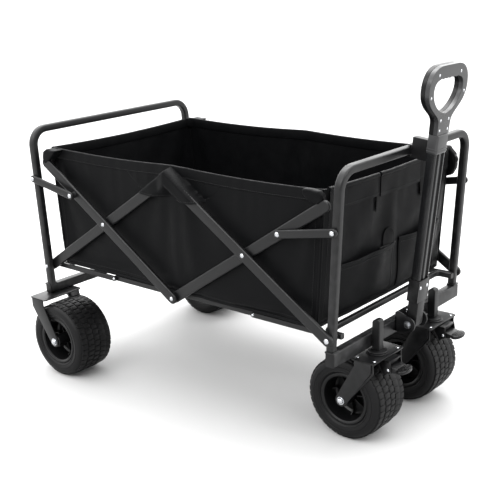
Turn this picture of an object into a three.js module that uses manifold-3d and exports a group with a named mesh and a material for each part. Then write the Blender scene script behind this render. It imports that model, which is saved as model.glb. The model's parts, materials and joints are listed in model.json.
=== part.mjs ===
// Folding camp wagon: two wheeled end frames joined by a pair of double scissors,
// a fabric basket hung inside them, two swivel casters with brakes at the front,
// two fixed wheels at the back and a telescopic pull handle.
// Millimetres, +X forward, +Y to the wagon's left, +Z up, ground at Z = 0.
import * as THREE from 'three';
import { mergeVertices } from 'three/addons/utils/BufferGeometryUtils.js';
import Module from 'manifold-3d';

const wasm = await Module();
wasm.setup();

// ---- driving dimensions -------------------------------------------------------------

const GAP = 0.3; // between pieces that touch
const PIVOT_GAP = 0.4; // around a pin in its hole

// Scissor frame. Every scissor bar turns about pivots at its foot, middle and head.
const END_X = 410; // foot pivots of the two end frames, fore and aft of the centre
const FOOT_Z = 258; // height of every foot pivot
const HEAD_Z = 528; // height of the centre head pivots
const CROSS_Z = (FOOT_Z + HEAD_Z) / 2;
const CROSS_X = END_X / 2;
const BAR_LENGTH = Math.hypot(END_X, HEAD_Z - FOOT_Z);
const BAR_ANGLE = Math.atan2(HEAD_Z - FOOT_Z, END_X);
const BAR_HEIGHT = 24;
const BAR_THICK = 9;
const FREE_HEAD = 455; // foot pivot to the last round end of a bar with a free head

// Layers across the wagon, measured out from the centre plane.
const INNER_BAR_Y = 241.7; // inner face of the inner bars
const OUTER_BAR_Y = 251.3; // inner face of the outer bars
const BAR_OUT_Y = OUTER_BAR_Y + BAR_THICK;

// End hoops, square tube bent into an upturned U that leans outward.
const TUBE = 18;
const HOOP_RISE = 330; // foot pivot to the top rail's centre line
const HOOP_BEND = 46; // outer radius of the top corners
const HOOP_LEAN = THREE.MathUtils.degToRad(3.4);
const FRONT_LEG_Y = 241.7; // centre line of the front hoop's legs
const REAR_LEG_Y = 260; // centre line of the rear hoop's legs

// Links between the hoops and the free-headed bars.
const LINK_RISE = 217; // foot pivot to the link pivot, up the leg
const LINK_REACH = 105.6; // middle pivot to the link pivot, along the bar
const LINK_HEIGHT = 17;
const LINK_THICK = 7;

// Crossbars that carry the wheels.
const CROSSBAR_DEPTH = 20;
const FRONT_BAR_Z = 200;
const FRONT_BAR_HEIGHT = 30;
const REAR_BAR_Z = 190.3;
const REAR_BAR_HEIGHT = 22;
const LEG_SEAT = 1.1; // a leaning leg stands this far off the crossbar

// Floor rails and folding floor stays.
const RAIL = 12;
const RAIL_X = 380; // centre line of the rails' cross members
const STAY_HEIGHT = 12;
const STAY_THICK = 6;

// Wheels.
const WHEEL_R = 90;
const TYRE_WIDTH = 104;
const RIM_R = 57;
const RIM_BORE = 50;
const HUB_BOSS_R = 14;
const AXLE_R = 5;
const REAR_WHEEL_X = -351;
const REAR_WHEEL_Y = 255;
const CASTER_X = 432; // swivel axis
const CASTER_Y = 112;
const FORK_OFFSET = 51; // plate centre to axle

// Forks, pressed from plate.
const FORK_TOP = 190;
const FORK_PLATE = 3;
const FORK_DEPTH = 56;
const FORK_INSIDE = 109;
const FORK_OUTSIDE = FORK_INSIDE + 2 * FORK_PLATE;
const STEM_R = 6;
const STEM_LENGTH = 46;
const SOCKET_DEPTH = 23;
const SOCKET_WIDTH = 20;
const SOCKET_TOP = 263;

// Brakes, on the front of each caster fork.
const BRAKE_X = 38; // pedal pivot ahead of the swivel axis
const BRAKE_Z = 168;
const PEDAL_WIDTH = 38;

// Pull handle, in a frame that starts at its pivot and leans with it.
const HANDLE_X = 450;
const HANDLE_Z = 226;
const HANDLE_LEAN = THREE.MathUtils.degToRad(6.3);
const FOOT_TOP = 60;
const LOWER_TOP = 372;
const LOWER_WIDTH = 38;
const LOWER_DEPTH = 20;
const LOWER_WALL = 2;
const UPPER_WIDTH = 33;
const UPPER_DEPTH = 15;
const UPPER_START = 70;
const COLLAR_TOP = 402;
const NECK_END = 432;
const GRIP_HALF = 13.5;

// Fabric basket and floor mat.
const BASKET_FLOOR = 267;
const BASKET_RIM = 550;
const BASKET_HALF_WIDTH = 238;
const BASKET_HALF_FLOOR = 372;
const BASKET_HALF_RIM = 392;
const FABRIC = 3;
const MAT = [716, 462, 12];

const ROUND = 14; // sides of a small round part

// ---- finishes -----------------------------------------------------------------------

const finish = (color, roughness, metalness) => new THREE.MeshStandardMaterial({ color, roughness, metalness });
const steel = finish(0x232425, 0.42, 0.5);
const zinc = finish(0xb9bcc0, 0.3, 0.9);
const rubber = finish(0x1d1d1e, 0.85, 0);
const plastic = finish(0x161617, 0.5, 0);
const greyPlastic = finish(0x6d7073, 0.45, 0);
const tubeAlloy = finish(0x3a3c3e, 0.35, 0.7);
const cloth = finish(0x17181a, 0.9, 0);

// ---- solid and shape helpers --------------------------------------------------------

const wagon = new THREE.Group();

function place(parent, name, geometry, material) {
  const mesh = new THREE.Mesh(geometry, material);
  mesh.name = name;
  parent.add(mesh);
  return mesh;
}

function toSolid(geometry) {
  const bare = geometry.clone();
  bare.deleteAttribute('normal');
  bare.deleteAttribute('uv');
  const merged = mergeVertices(bare, 1e-4);
  const vertProperties = new Float32Array(merged.attributes.position.array);
  const triVerts = new Uint32Array(merged.index.array);
  return new wasm.Manifold(new wasm.Mesh({ numProp: 3, vertProperties, triVerts }));
}

function fromSolid(solid) {
  const mesh = solid.getMesh();
  const geometry = new THREE.BufferGeometry();
  geometry.setAttribute('position', new THREE.BufferAttribute(mesh.vertProperties, 3));
  geometry.setIndex(new THREE.BufferAttribute(mesh.triVerts, 1));
  geometry.computeVertexNormals();
  return geometry;
}

function join(...geometries) {
  return fromSolid(geometries.map(toSolid).reduce((whole, next) => whole.add(next)));
}

function cut(base, ...tools) {
  return fromSolid(tools.map(toSolid).reduce((whole, tool) => whole.subtract(tool), toSolid(base)));
}

// A box from its lowest to its highest corner.
function block(x0, x1, y0, y1, z0, z1) {
  const box = new THREE.BoxGeometry(x1 - x0, y1 - y0, z1 - z0);
  return box.translate((x0 + x1) / 2, (y0 + y1) / 2, (z0 + z1) / 2);
}

// An outline in X and Z, given thickness from y0 to y1.
function sidePlate(shape, y0, y1, curveSegments = 8) {
  const plate = new THREE.ExtrudeGeometry(shape, { depth: Math.abs(y1 - y0), bevelEnabled: false, curveSegments });
  return plate.rotateX(Math.PI / 2).translate(0, Math.max(y0, y1), 0);
}

// An outline in Y and Z, given thickness from x0 to x1.
function facePlate(shape, x0, x1, curveSegments = 8) {
  const plate = new THREE.ExtrudeGeometry(shape, { depth: x1 - x0, bevelEnabled: false, curveSegments });
  const turn = new THREE.Matrix4().makeBasis(
    new THREE.Vector3(0, 1, 0), new THREE.Vector3(0, 0, 1), new THREE.Vector3(1, 0, 0));
  return plate.applyMatrix4(turn).translate(x0, 0, 0);
}

// A round pin along Y.
function pin(radius, y0, y1, x = 0, z = 0, sides = ROUND) {
  const cylinder = new THREE.CylinderGeometry(radius, radius, Math.abs(y1 - y0), sides);
  return cylinder.translate(x, (y0 + y1) / 2, z);
}

// A flat bar along +X with round ends, from the origin to the given length.
function strapShape(length, height, holes, holeRadius) {
  const r = height / 2;
  const shape = new THREE.Shape();
  shape.moveTo(0, -r);
  shape.lineTo(length, -r);
  shape.absarc(length, 0, r, -Math.PI / 2, Math.PI / 2, false);
  shape.lineTo(0, r);
  shape.absarc(0, 0, r, Math.PI / 2, 1.5 * Math.PI, false);
  for (const at of holes) {
    const hole = new THREE.Path();
    hole.absarc(at, 0, holeRadius, 0, 2 * Math.PI, true);
    shape.holes.push(hole);
  }
  return shape;
}

const sides = [['left', 1], ['right', -1]];
const PIN_R = 4;
const HEAD_R = 6.5;
const HEAD = 2.2;

// A pin across the wagon's layers on one side, with a head on each end.
function headedPin(side, inside, outside, x, z) {
  return [
    pin(PIN_R, side * (inside - HEAD / 2), side * (outside + HEAD / 2), x, z),
    pin(HEAD_R, side * inside, side * (inside - HEAD), x, z),
    pin(HEAD_R, side * outside, side * (outside + HEAD), x, z),
  ];
}

// ---- end hoops ----------------------------------------------------------------------

function hoopShape(legY, bottom) {
  const outer = legY + TUBE / 2;
  const inner = legY - TUBE / 2;
  const top = HOOP_RISE + TUBE / 2;
  const bend = top - HOOP_BEND;
  const innerBend = HOOP_BEND - TUBE;
  const shape = new THREE.Shape();
  shape.moveTo(inner, bottom);
  shape.lineTo(outer, bottom);
  shape.absarc(outer - HOOP_BEND, bend, HOOP_BEND, 0, Math.PI / 2, false);
  shape.absarc(HOOP_BEND - outer, bend, HOOP_BEND, Math.PI / 2, Math.PI, false);
  shape.lineTo(-outer, bottom);
  shape.lineTo(-inner, bottom);
  shape.absarc(HOOP_BEND - outer, bend, innerBend, Math.PI, Math.PI / 2, true);
  shape.absarc(outer - HOOP_BEND, bend, innerBend, Math.PI / 2, 0, true);
  shape.closePath();
  return shape;
}

// The hoop with its foot pins and link pins, upright about the foot pivots.
function hoop(legY, bottom, footInside, footOutside) {
  const legOut = legY + TUBE / 2;
  const parts = [facePlate(hoopShape(legY, bottom), -TUBE / 2, TUBE / 2, 7)];
  for (const [, side] of sides) {
    parts.push(...headedPin(side, footInside, footOutside, 0, 0));
    const linkOutside = legOut + 2 * GAP + LINK_THICK;
    parts.push(pin(PIN_R, side * (legOut - 1), side * (linkOutside + HEAD / 2), 0, LINK_RISE));
    parts.push(pin(HEAD_R, side * linkOutside, side * (linkOutside + HEAD), 0, LINK_RISE));
  }
  return join(...parts);
}

const frontStayY = FRONT_LEG_Y - TUBE / 2 - GAP - STAY_THICK; // inner face of the front outer stays
const rearStayY = 233;
const frontRailY = frontStayY - GAP - RAIL;
const rearRailY = rearStayY - GAP - RAIL - 2.1;

const frontHoop = new THREE.Group();
frontHoop.position.set(END_X, 0, FOOT_Z);
frontHoop.rotation.y = HOOP_LEAN;
const rearHoop = new THREE.Group();
rearHoop.position.set(-END_X, 0, FOOT_Z);
rearHoop.rotation.y = -HOOP_LEAN;
wagon.add(frontHoop, rearHoop);

const frontLegBottom = FRONT_BAR_Z + FRONT_BAR_HEIGHT + LEG_SEAT - FOOT_Z;
const rearLegBottom = REAR_BAR_Z + REAR_BAR_HEIGHT + LEG_SEAT - FOOT_Z;
place(frontHoop, 'front_hoop',
  hoop(FRONT_LEG_Y, frontLegBottom, frontRailY - GAP, BAR_OUT_Y + GAP), steel);
place(rearHoop, 'rear_hoop',
  hoop(REAR_LEG_Y, rearLegBottom, rearRailY - GAP, REAR_LEG_Y + TUBE / 2), steel);

// ---- crossbars ----------------------------------------------------------------------

function crossbar(name, x, z, height, half) {
  const depth = CROSSBAR_DEPTH / 2;
  place(wagon, name, block(x - depth, x + depth, -half, half, z, z + height), steel);
}
crossbar('front_crossbar', END_X, FRONT_BAR_Z, FRONT_BAR_HEIGHT, FRONT_LEG_Y + TUBE / 2);
crossbar('rear_crossbar', -END_X, REAR_BAR_Z, REAR_BAR_HEIGHT, REAR_LEG_Y + TUBE / 2);

// ---- floor rails: a bent square rod held on the foot pins ----------------------------

function floorRail(name, end, railY) {
  const tip = RAIL / 2 + 4; // past the foot pin
  const outer = railY + RAIL;
  const near = END_X - RAIL_X - RAIL / 2;
  const far = near + RAIL;
  const shape = new THREE.Shape();
  shape.moveTo(-tip, -outer);
  shape.lineTo(far - RAIL, -outer);
  shape.absarc(far - RAIL, -outer + RAIL, RAIL, -Math.PI / 2, 0, false);
  shape.absarc(far - RAIL, outer - RAIL, RAIL, 0, Math.PI / 2, false);
  shape.lineTo(-tip, outer);
  shape.lineTo(-tip, railY);
  shape.lineTo(near, railY);
  shape.lineTo(near, -railY);
  shape.lineTo(-tip, -railY);
  shape.closePath();
  const rod = new THREE.ExtrudeGeometry(shape, { depth: RAIL, bevelEnabled: false, curveSegments: 4 });
  rod.translate(0, 0, -RAIL / 2);
  const holes = sides.map(([, side]) => pin(PIN_R + PIVOT_GAP, side * (railY - 1), side * (outer + 1)));
  const mesh = place(wagon, name, cut(rod, ...holes), steel);
  mesh.position.set(end * END_X, 0, FOOT_Z);
  mesh.rotation.z = end > 0 ? Math.PI : 0;
}
floorRail('front_floor_rail', 1, frontRailY);
floorRail('rear_floor_rail', -1, rearRailY);

// ---- scissor bars -------------------------------------------------------------------
// Outer bars carry the middle, head and centre foot pins; inner bars have the holes.
// Heading +1 climbs forward from its foot, -1 climbs rearward.

function scissorBar(name, side, heading, footX, length, inside, holes, extras) {
  const shape = strapShape(length, BAR_HEIGHT, holes, PIN_R + PIVOT_GAP);
  const outside = inside + BAR_THICK;
  const plate = sidePlate(shape, side * inside, side * outside, 5);
  const mesh = place(wagon, name, extras.length ? join(plate, ...extras) : plate, steel);
  mesh.position.set(footX, 0, FOOT_Z);
  mesh.rotation.y = heading > 0 ? -BAR_ANGLE : BAR_ANGLE - Math.PI;
}

for (const [label, side] of sides) {
  const middle = BAR_LENGTH / 2;
  const pinInside = INNER_BAR_Y - GAP;
  const linkAt = middle + LINK_REACH;
  const barPin = (at) => headedPin(side, pinInside, BAR_OUT_Y, at, 0);
  const linkSeat = REAR_LEG_Y + TUBE / 2;
  const boss = pin(7, side * (BAR_OUT_Y - 1), side * linkSeat, linkAt, 0);
  scissorBar(`rear_outer_bar_${label}`, side, -1, 0, FREE_HEAD, OUTER_BAR_Y, [],
    [...barPin(0), ...barPin(middle), boss]);
  scissorBar(`rear_inner_bar_${label}`, side, 1, -END_X, BAR_LENGTH, INNER_BAR_Y,
    [0, middle, BAR_LENGTH], []);
  scissorBar(`front_inner_bar_${label}`, side, 1, 0, FREE_HEAD, INNER_BAR_Y,
    [0, middle], []);
  scissorBar(`front_outer_bar_${label}`, side, -1, END_X, BAR_LENGTH, OUTER_BAR_Y,
    [0], [...barPin(middle), ...barPin(BAR_LENGTH)]);
}

// ---- links --------------------------------------------------------------------------

function link(name, side, end, inside) {
  const pivotX = LINK_RISE * Math.sin(HOOP_LEAN);
  const pivotZ = LINK_RISE * Math.cos(HOOP_LEAN);
  const barX = END_X - CROSS_X - LINK_REACH * Math.cos(BAR_ANGLE);
  const barZ = CROSS_Z - FOOT_Z + LINK_REACH * Math.sin(BAR_ANGLE);
  const length = Math.hypot(barX + pivotX, barZ - pivotZ);
  const drop = Math.atan2(pivotZ - barZ, barX + pivotX);
  const plate = sidePlate(strapShape(length, LINK_HEIGHT, [0], PIN_R + PIVOT_GAP),
    side * inside, side * (inside + LINK_THICK), 5);
  const outside = inside + LINK_THICK;
  const rivet = pin(HEAD_R, side * (outside - 1), side * (outside + HEAD), length, 0);
  const mesh = place(wagon, name, join(plate, rivet), steel);
  mesh.position.set(end * (END_X + pivotX), 0, FOOT_Z + pivotZ);
  mesh.rotation.y = end > 0 ? Math.PI - drop : drop;
}

for (const [label, side] of sides) {
  link(`front_link_${label}`, side, 1, FRONT_LEG_Y + TUBE / 2 + 2 * GAP);
  link(`rear_link_${label}`, side, -1, REAR_LEG_Y + TUBE / 2 + GAP);
}

// ---- floor stays: each half span folds upward at a middle knuckle --------------------

function stay(name, side, x, heading, inside, extras, holes) {
  const shape = strapShape(CROSS_X, STAY_HEIGHT, holes, PIN_R + PIVOT_GAP);
  const plate = sidePlate(shape, side * inside, side * (inside + STAY_THICK), 4);
  const mesh = place(wagon, name, extras.length ? join(plate, ...extras) : plate, steel);
  mesh.position.set(x, 0, FOOT_Z);
  mesh.rotation.y = heading > 0 ? 0 : Math.PI;
}

for (const [label, side] of sides) {
  for (const [place2, end, outerY] of [['front', 1, frontStayY], ['rear', -1, rearStayY]]) {
    const innerY = outerY - GAP - STAY_THICK;
    const knuckle = headedPin(side, innerY - GAP, outerY + STAY_THICK - 1, CROSS_X, 0).slice(0, 2);
    stay(`${place2}_outer_stay_${label}`, side, end * END_X, -end, outerY, knuckle, [0]);
    stay(`${place2}_inner_stay_${label}`, side, end * CROSS_X, -end, innerY, [], [0]);
  }
}

// ---- wheels -------------------------------------------------------------------------

function lathe(points, segments) {
  const profile = [...points, points[0]].map(([radius, across]) => new THREE.Vector2(radius, across));
  return new THREE.LatheGeometry(profile, segments);
}

// Mirrors a profile's points about the wheel's middle plane to close the section.
function mirrored(half) {
  return [...half.map(([r, y]) => [r, -y]), ...half.map(([r, y]) => [r, y]).reverse()];
}

const halfTyre = TYRE_WIDTH / 2;
const tyreProfile = mirrored([
  [RIM_R + GAP, halfTyre - 4],
  [RIM_R + 5, halfTyre],
  [WHEEL_R - 11, halfTyre - 1],
  [WHEEL_R - 3, halfTyre - 8],
  [WHEEL_R, halfTyre - 18],
]);
const bossEnd = FORK_INSIDE / 2 - 1;
const hubProfile = mirrored([
  [AXLE_R + PIVOT_GAP, bossEnd],
  [HUB_BOSS_R, bossEnd],
  [HUB_BOSS_R, 5],
  [RIM_BORE - 3, 5],
  [RIM_BORE, halfTyre - 4],
  [RIM_R, halfTyre - 3],
]);

function wheel(end, label, x, y) {
  const tyre = place(wagon, `${end}_tyre_${label}`, lathe(tyreProfile, 36), rubber);
  const hub = place(wagon, `${end}_hub_${label}`, lathe(hubProfile, 28), plastic);
  for (const piece of [tyre, hub]) {
    piece.position.set(x, y, WHEEL_R);
  }
}

// ---- forks --------------------------------------------------------------------------
// The axle trails or leads the plate by FORK_OFFSET: lead +1 is ahead, -1 behind.

function forkLegShape(lead) {
  const low = WHEEL_R - FORK_TOP;
  const r = 13;
  const shape = new THREE.Shape();
  const far = FORK_DEPTH / 2 - 2;
  shape.moveTo(-lead * (far - 6), -1);
  shape.lineTo(lead * far, -1);
  shape.lineTo(lead * far, -14);
  shape.lineTo(lead * (FORK_OFFSET + r), low + 4);
  shape.absarc(lead * FORK_OFFSET, low, r, lead > 0 ? 0.3 : Math.PI - 0.3, lead > 0 ? -2.5 : 5.64, lead > 0);
  shape.lineTo(-lead * (far - 6), -22);
  shape.closePath();
  return shape;
}

function fork(lead, withStem) {
  const half = FORK_DEPTH / 2;
  const outside = FORK_OUTSIDE / 2;
  const inside = FORK_INSIDE / 2;
  const parts = [block(-half, half, -outside, outside, -FORK_PLATE, 0)];
  for (const [, side] of sides) {
    parts.push(sidePlate(forkLegShape(lead), side * inside, side * outside, 8));
  }
  if (withStem) {
    const stem = new THREE.CylinderGeometry(STEM_R, STEM_R, STEM_LENGTH, ROUND);
    parts.push(stem.rotateX(Math.PI / 2).translate(0, 0, STEM_LENGTH / 2 - 1));
  }
  const hole = pin(AXLE_R + PIVOT_GAP, -outside - 1, outside + 1, lead * FORK_OFFSET, WHEEL_R - FORK_TOP);
  return cut(join(...parts), hole);
}

function axle() {
  const half = FORK_OUTSIDE / 2 + GAP;
  return join(pin(AXLE_R, -half - 2, half + 2), pin(8, half, half + 5, 0, 0, 6), pin(8, -half - 5, -half, 0, 0, 6));
}

for (const [label, side] of sides) {
  const y = side * REAR_WHEEL_Y;
  const rearFork = place(wagon, `rear_fork_${label}`, fork(1, false), steel);
  rearFork.position.set(REAR_WHEEL_X - FORK_OFFSET, y, FORK_TOP);
  place(wagon, `rear_axle_${label}`, axle(), zinc).position.set(REAR_WHEEL_X, y, WHEEL_R);
  wheel('rear', label, REAR_WHEEL_X, y);
}

// ---- casters ------------------------------------------------------------------------

function socket() {
  const half = SOCKET_DEPTH / 2;
  const width = SOCKET_WIDTH / 2;
  const round = 10;
  const low = FORK_TOP + 6;
  const shape = new THREE.Shape();
  shape.moveTo(-half, low);
  shape.lineTo(half, low);
  shape.absarc(half - 4, SOCKET_TOP - 4, 4, 0, Math.PI / 2, false);
  shape.absarc(-half + round, SOCKET_TOP - round, round, Math.PI / 2, Math.PI, false);
  shape.closePath();
  const bearing = new THREE.CylinderGeometry(SOCKET_WIDTH - 1, SOCKET_WIDTH - 1, 6 - GAP, 24);
  bearing.rotateX(Math.PI / 2).translate(0, 0, FORK_TOP + (6 + GAP) / 2);
  const bore = new THREE.CylinderGeometry(STEM_R + PIVOT_GAP, STEM_R + PIVOT_GAP, STEM_LENGTH + 3, ROUND);
  bore.rotateX(Math.PI / 2).translate(0, 0, FORK_TOP + STEM_LENGTH / 2);
  const crossbarFace = block(-60, -CASTER_X + END_X + CROSSBAR_DEPTH / 2 + GAP, -30, 30, 180, 240);
  return cut(join(sidePlate(shape, -width, width, 5), bearing), bore, crossbarFace);
}

// The brake housing hangs under the front of the fork plate, the pedal turns in it.
function brakeHousing() {
  const top = FORK_TOP - FORK_PLATE - GAP;
  const arm = new THREE.Shape();
  arm.moveTo(18, top);
  arm.lineTo(BRAKE_X + 4, top);
  arm.lineTo(BRAKE_X + 7, BRAKE_Z);
  arm.absarc(BRAKE_X, BRAKE_Z, 7, 0, -Math.PI / 2, true);
  arm.lineTo(30, 152);
  arm.lineTo(20, 172);
  arm.closePath();
  const cheek = PEDAL_WIDTH / 2 + GAP;
  const pieces = [block(18, BRAKE_X + 4, -cheek - 3, cheek + 3, top - 3, top)];
  for (const [, side] of sides) {
    pieces.push(sidePlate(arm, side * cheek, side * (cheek + 3), 4));
  }
  pieces.push(pin(3, -cheek - 4, cheek + 4, BRAKE_X, BRAKE_Z));
  return join(...pieces);
}

function brakePedal() {
  const cheek = PEDAL_WIDTH / 2;
  const lever = new THREE.Shape();
  lever.moveTo(-11, -6);
  lever.lineTo(4, -7);
  lever.lineTo(20, -3);
  lever.lineTo(20, 3);
  lever.lineTo(5, 6.5);
  lever.lineTo(-6, 7);
  lever.closePath();
  const foot = new THREE.Shape();
  foot.absellipse(32, 0, 17, cheek + 6, 0, 2 * Math.PI, false);
  const pad = new THREE.ExtrudeGeometry(foot, { depth: 7, bevelEnabled: false, curveSegments: 7 });
  pad.translate(0, 0, -3.5);
  const hole = pin(3 + PIVOT_GAP, -cheek - 1, cheek + 1);
  return cut(join(sidePlate(lever, -cheek, cheek), pad), hole);
}

for (const [label, side] of sides) {
  const y = side * CASTER_Y;
  place(wagon, `caster_socket_${label}`, socket(), steel).position.set(CASTER_X, y, 0);
  place(wagon, `caster_fork_${label}`, fork(-1, true), steel).position.set(CASTER_X, y, FORK_TOP);
  place(wagon, `caster_axle_${label}`, axle(), zinc).position.set(CASTER_X - FORK_OFFSET, y, WHEEL_R);
  place(wagon, `brake_housing_${label}`, brakeHousing(), plastic).position.set(CASTER_X, y, 0);
  place(wagon, `brake_pedal_${label}`, brakePedal(), plastic).position.set(CASTER_X + BRAKE_X, y, BRAKE_Z);
  wheel('front', label, CASTER_X - FORK_OFFSET, y);
}

// ---- handle bracket on the front frame --------------------------------------

const CHEEK = 23; // inner face of the bracket's cheeks
const CHEEK_THICK = 4;

function handleBracket() {
  const back = END_X + CROSSBAR_DEPTH / 2 + GAP;
  const cheekShape = new THREE.Shape();
  cheekShape.moveTo(back, 206);
  cheekShape.lineTo(HANDLE_X, 206);
  cheekShape.absarc(HANDLE_X, HANDLE_Z, 17, -Math.PI / 2, Math.PI / 2, false);
  cheekShape.lineTo(back + 6, 252);
  cheekShape.lineTo(back, 248);
  cheekShape.closePath();
  const pieces = [block(back, back + 4, -CHEEK - CHEEK_THICK, CHEEK + CHEEK_THICK, 206, 248)];
  for (const [, side] of sides) {
    pieces.push(sidePlate(cheekShape, side * CHEEK, side * (CHEEK + CHEEK_THICK)));
  }
  pieces.push(pin(AXLE_R, -CHEEK - 8, CHEEK + 8, HANDLE_X, HANDLE_Z));
  for (const [, side] of sides) {
    pieces.push(pin(8, side * (CHEEK + CHEEK_THICK), side * (CHEEK + 9), HANDLE_X, HANDLE_Z, 6));
  }
  return join(...pieces);
}
place(wagon, 'handle_bracket', handleBracket(), steel);

// ---- pull handle --------------------------------------------------------------------

const handle = new THREE.Group();
handle.position.set(HANDLE_X, 0, HANDLE_Z);
handle.rotation.y = HANDLE_LEAN;
wagon.add(handle);

function rectTube(width, depth, wall, z0, z1) {
  const tube = block(-depth / 2, depth / 2, -width / 2, width / 2, z0, z1);
  const hollow = block(wall - depth / 2, depth / 2 - wall, wall - width / 2, width / 2 - wall, z0 - 1, z1 + 1);
  return cut(tube, hollow);
}

// The foot turns on the bracket's pin and carries the lower tube.
function handleFoot() {
  const half = CHEEK - 1;
  const shape = new THREE.Shape();
  shape.moveTo(-12, 0);
  shape.absarc(0, 0, 12, Math.PI, 2 * Math.PI, false);
  shape.lineTo(12, FOOT_TOP);
  shape.lineTo(-12, FOOT_TOP);
  shape.closePath();
  const hole = pin(AXLE_R + PIVOT_GAP, -half - 1, half + 1);
  return cut(sidePlate(shape, -half, half), hole);
}
place(handle, 'handle_foot', handleFoot(), steel);
place(handle, 'handle_lower_tube',
  rectTube(LOWER_WIDTH, LOWER_DEPTH, LOWER_WALL, FOOT_TOP + GAP, LOWER_TOP), tubeAlloy);
place(handle, 'handle_upper_tube',
  rectTube(UPPER_WIDTH, UPPER_DEPTH, 1.5, UPPER_START, NECK_END), tubeAlloy);

function collar() {
  const outer = block(-12.5, 12.5, -21.5, 21.5, LOWER_TOP - 8, COLLAR_TOP);
  const lowerSeat = block(-LOWER_DEPTH / 2 - GAP, LOWER_DEPTH / 2 + GAP,
    -LOWER_WIDTH / 2 - GAP, LOWER_WIDTH / 2 + GAP, LOWER_TOP - 10, LOWER_TOP + GAP);
  const upperPass = block(-UPPER_DEPTH / 2 - GAP, UPPER_DEPTH / 2 + GAP,
    -UPPER_WIDTH / 2 - GAP, UPPER_WIDTH / 2 + GAP, LOWER_TOP - 1, COLLAR_TOP + 1);
  return cut(outer, lowerSeat, upperPass);
}
place(handle, 'handle_collar', collar(), plastic);

// The clip snaps over the hoop's top rail to hold the handle upright: a body on the
// back of the collar with one jaw above the rail and a short finger below it.
function handleClip() {
  const railX = HOOP_RISE * Math.sin(HOOP_LEAN) + END_X - HANDLE_X;
  const railZ = HOOP_RISE * Math.cos(HOOP_LEAN) + FOOT_Z - HANDLE_Z;
  const toHandle = (x, z) => [
    x * Math.cos(HANDLE_LEAN) - z * Math.sin(HANDLE_LEAN),
    x * Math.sin(HANDLE_LEAN) + z * Math.cos(HANDLE_LEAN),
  ];
  const [x, z] = toHandle(railX, railZ);
  const half = TUBE / 2 + 1.5;
  const back = -12.5 - GAP;
  const shape = new THREE.Shape();
  shape.moveTo(back, z - half - 6);
  shape.lineTo(back, z + half + 11);
  shape.lineTo(back - 14, z + half + 11);
  shape.lineTo(x - 4, z + half + 7);
  shape.lineTo(x - 4, z + half);
  shape.lineTo(x + half, z + half);
  shape.lineTo(x + half, z - half);
  shape.lineTo(x + 1, z - half);
  shape.lineTo(x + 3, z - half - 6);
  shape.closePath();
  return sidePlate(shape, -12, 12);
}
place(handle, 'handle_clip', handleClip(), plastic);

// The grip is two shells of one outline, split down the middle and screwed together.
function gripShape() {
  const low = COLLAR_TOP + GAP;
  const shape = new THREE.Shape();
  shape.moveTo(-19, low);
  shape.lineTo(19, low);
  shape.lineTo(20, low + 22);
  shape.bezierCurveTo(24, low + 44, 74, low + 52, 75, low + 94);
  shape.bezierCurveTo(75, low + 122, 62, low + 134, 44, low + 135);
  shape.lineTo(-44, low + 135);
  shape.bezierCurveTo(-62, low + 134, -75, low + 122, -75, low + 94);
  shape.bezierCurveTo(-74, low + 52, -24, low + 44, -20, low + 22);
  shape.closePath();
  const opening = new THREE.Path();
  opening.moveTo(0, low + 46);
  opening.bezierCurveTo(-22, low + 46, -52, low + 66, -53, low + 92);
  opening.bezierCurveTo(-53, low + 104, -46, low + 107, -38, low + 106);
  opening.lineTo(38, low + 106);
  opening.bezierCurveTo(46, low + 107, 53, low + 104, 53, low + 92);
  opening.bezierCurveTo(52, low + 66, 22, low + 46, 0, low + 46);
  shape.holes.push(opening);
  return shape;
}

function gripShell(front) {
  const x0 = front ? GAP / 2 : -GRIP_HALF;
  const x1 = front ? GRIP_HALF : -GAP / 2;
  const socketCut = block(-UPPER_DEPTH / 2 - GAP, UPPER_DEPTH / 2 + GAP,
    -UPPER_WIDTH / 2 - GAP, UPPER_WIDTH / 2 + GAP, COLLAR_TOP - 1, NECK_END + GAP);
  return cut(facePlate(gripShape(), x0, x1, 7), socketCut);
}
place(handle, 'grip_front_shell', gripShell(true), greyPlastic);
place(handle, 'grip_rear_shell', gripShell(false), plastic);

// ---- fabric -------------------------------------------------------------------------

// A box whose top is longer than its floor.
function flared(halfFloor, halfRim, halfWidth, z0, z1) {
  const box = new THREE.BoxGeometry(2, 2 * halfWidth, z1 - z0).translate(0, 0, (z0 + z1) / 2);
  const position = box.attributes.position;
  for (let i = 0; i < position.count; i += 1) {
    const half = position.getZ(i) > (z0 + z1) / 2 ? halfRim : halfFloor;
    position.setX(i, Math.sign(position.getX(i)) * half);
  }
  return box;
}
const basketOuter = flared(BASKET_HALF_FLOOR, BASKET_HALF_RIM, BASKET_HALF_WIDTH, BASKET_FLOOR, BASKET_RIM);
const rimSlope = (BASKET_HALF_RIM - BASKET_HALF_FLOOR) / (BASKET_RIM - BASKET_FLOOR);
const basketInner = flared(BASKET_HALF_FLOOR - FABRIC + rimSlope * FABRIC,
  BASKET_HALF_RIM - FABRIC + rimSlope * 2, BASKET_HALF_WIDTH - FABRIC, BASKET_FLOOR + FABRIC, BASKET_RIM + 2);
place(wagon, 'basket', cut(basketOuter, basketInner), cloth);

const matZ = BASKET_FLOOR + FABRIC + GAP;
place(wagon, 'floor_mat',
  block(-MAT[0] / 2, MAT[0] / 2, -MAT[1] / 2, MAT[1] / 2, matZ, matZ + MAT[2]), cloth);

// The finished wagon's origin is on the ground under the middle of its outline.
const extent = new THREE.Box3().setFromObject(wagon, true);
wagon.position.x = -(extent.min.x + extent.max.x) / 2;

export default wagon;
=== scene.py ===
import json
import math

import bmesh
import bpy
import numpy as np
from mathutils import Matrix, Vector


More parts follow.
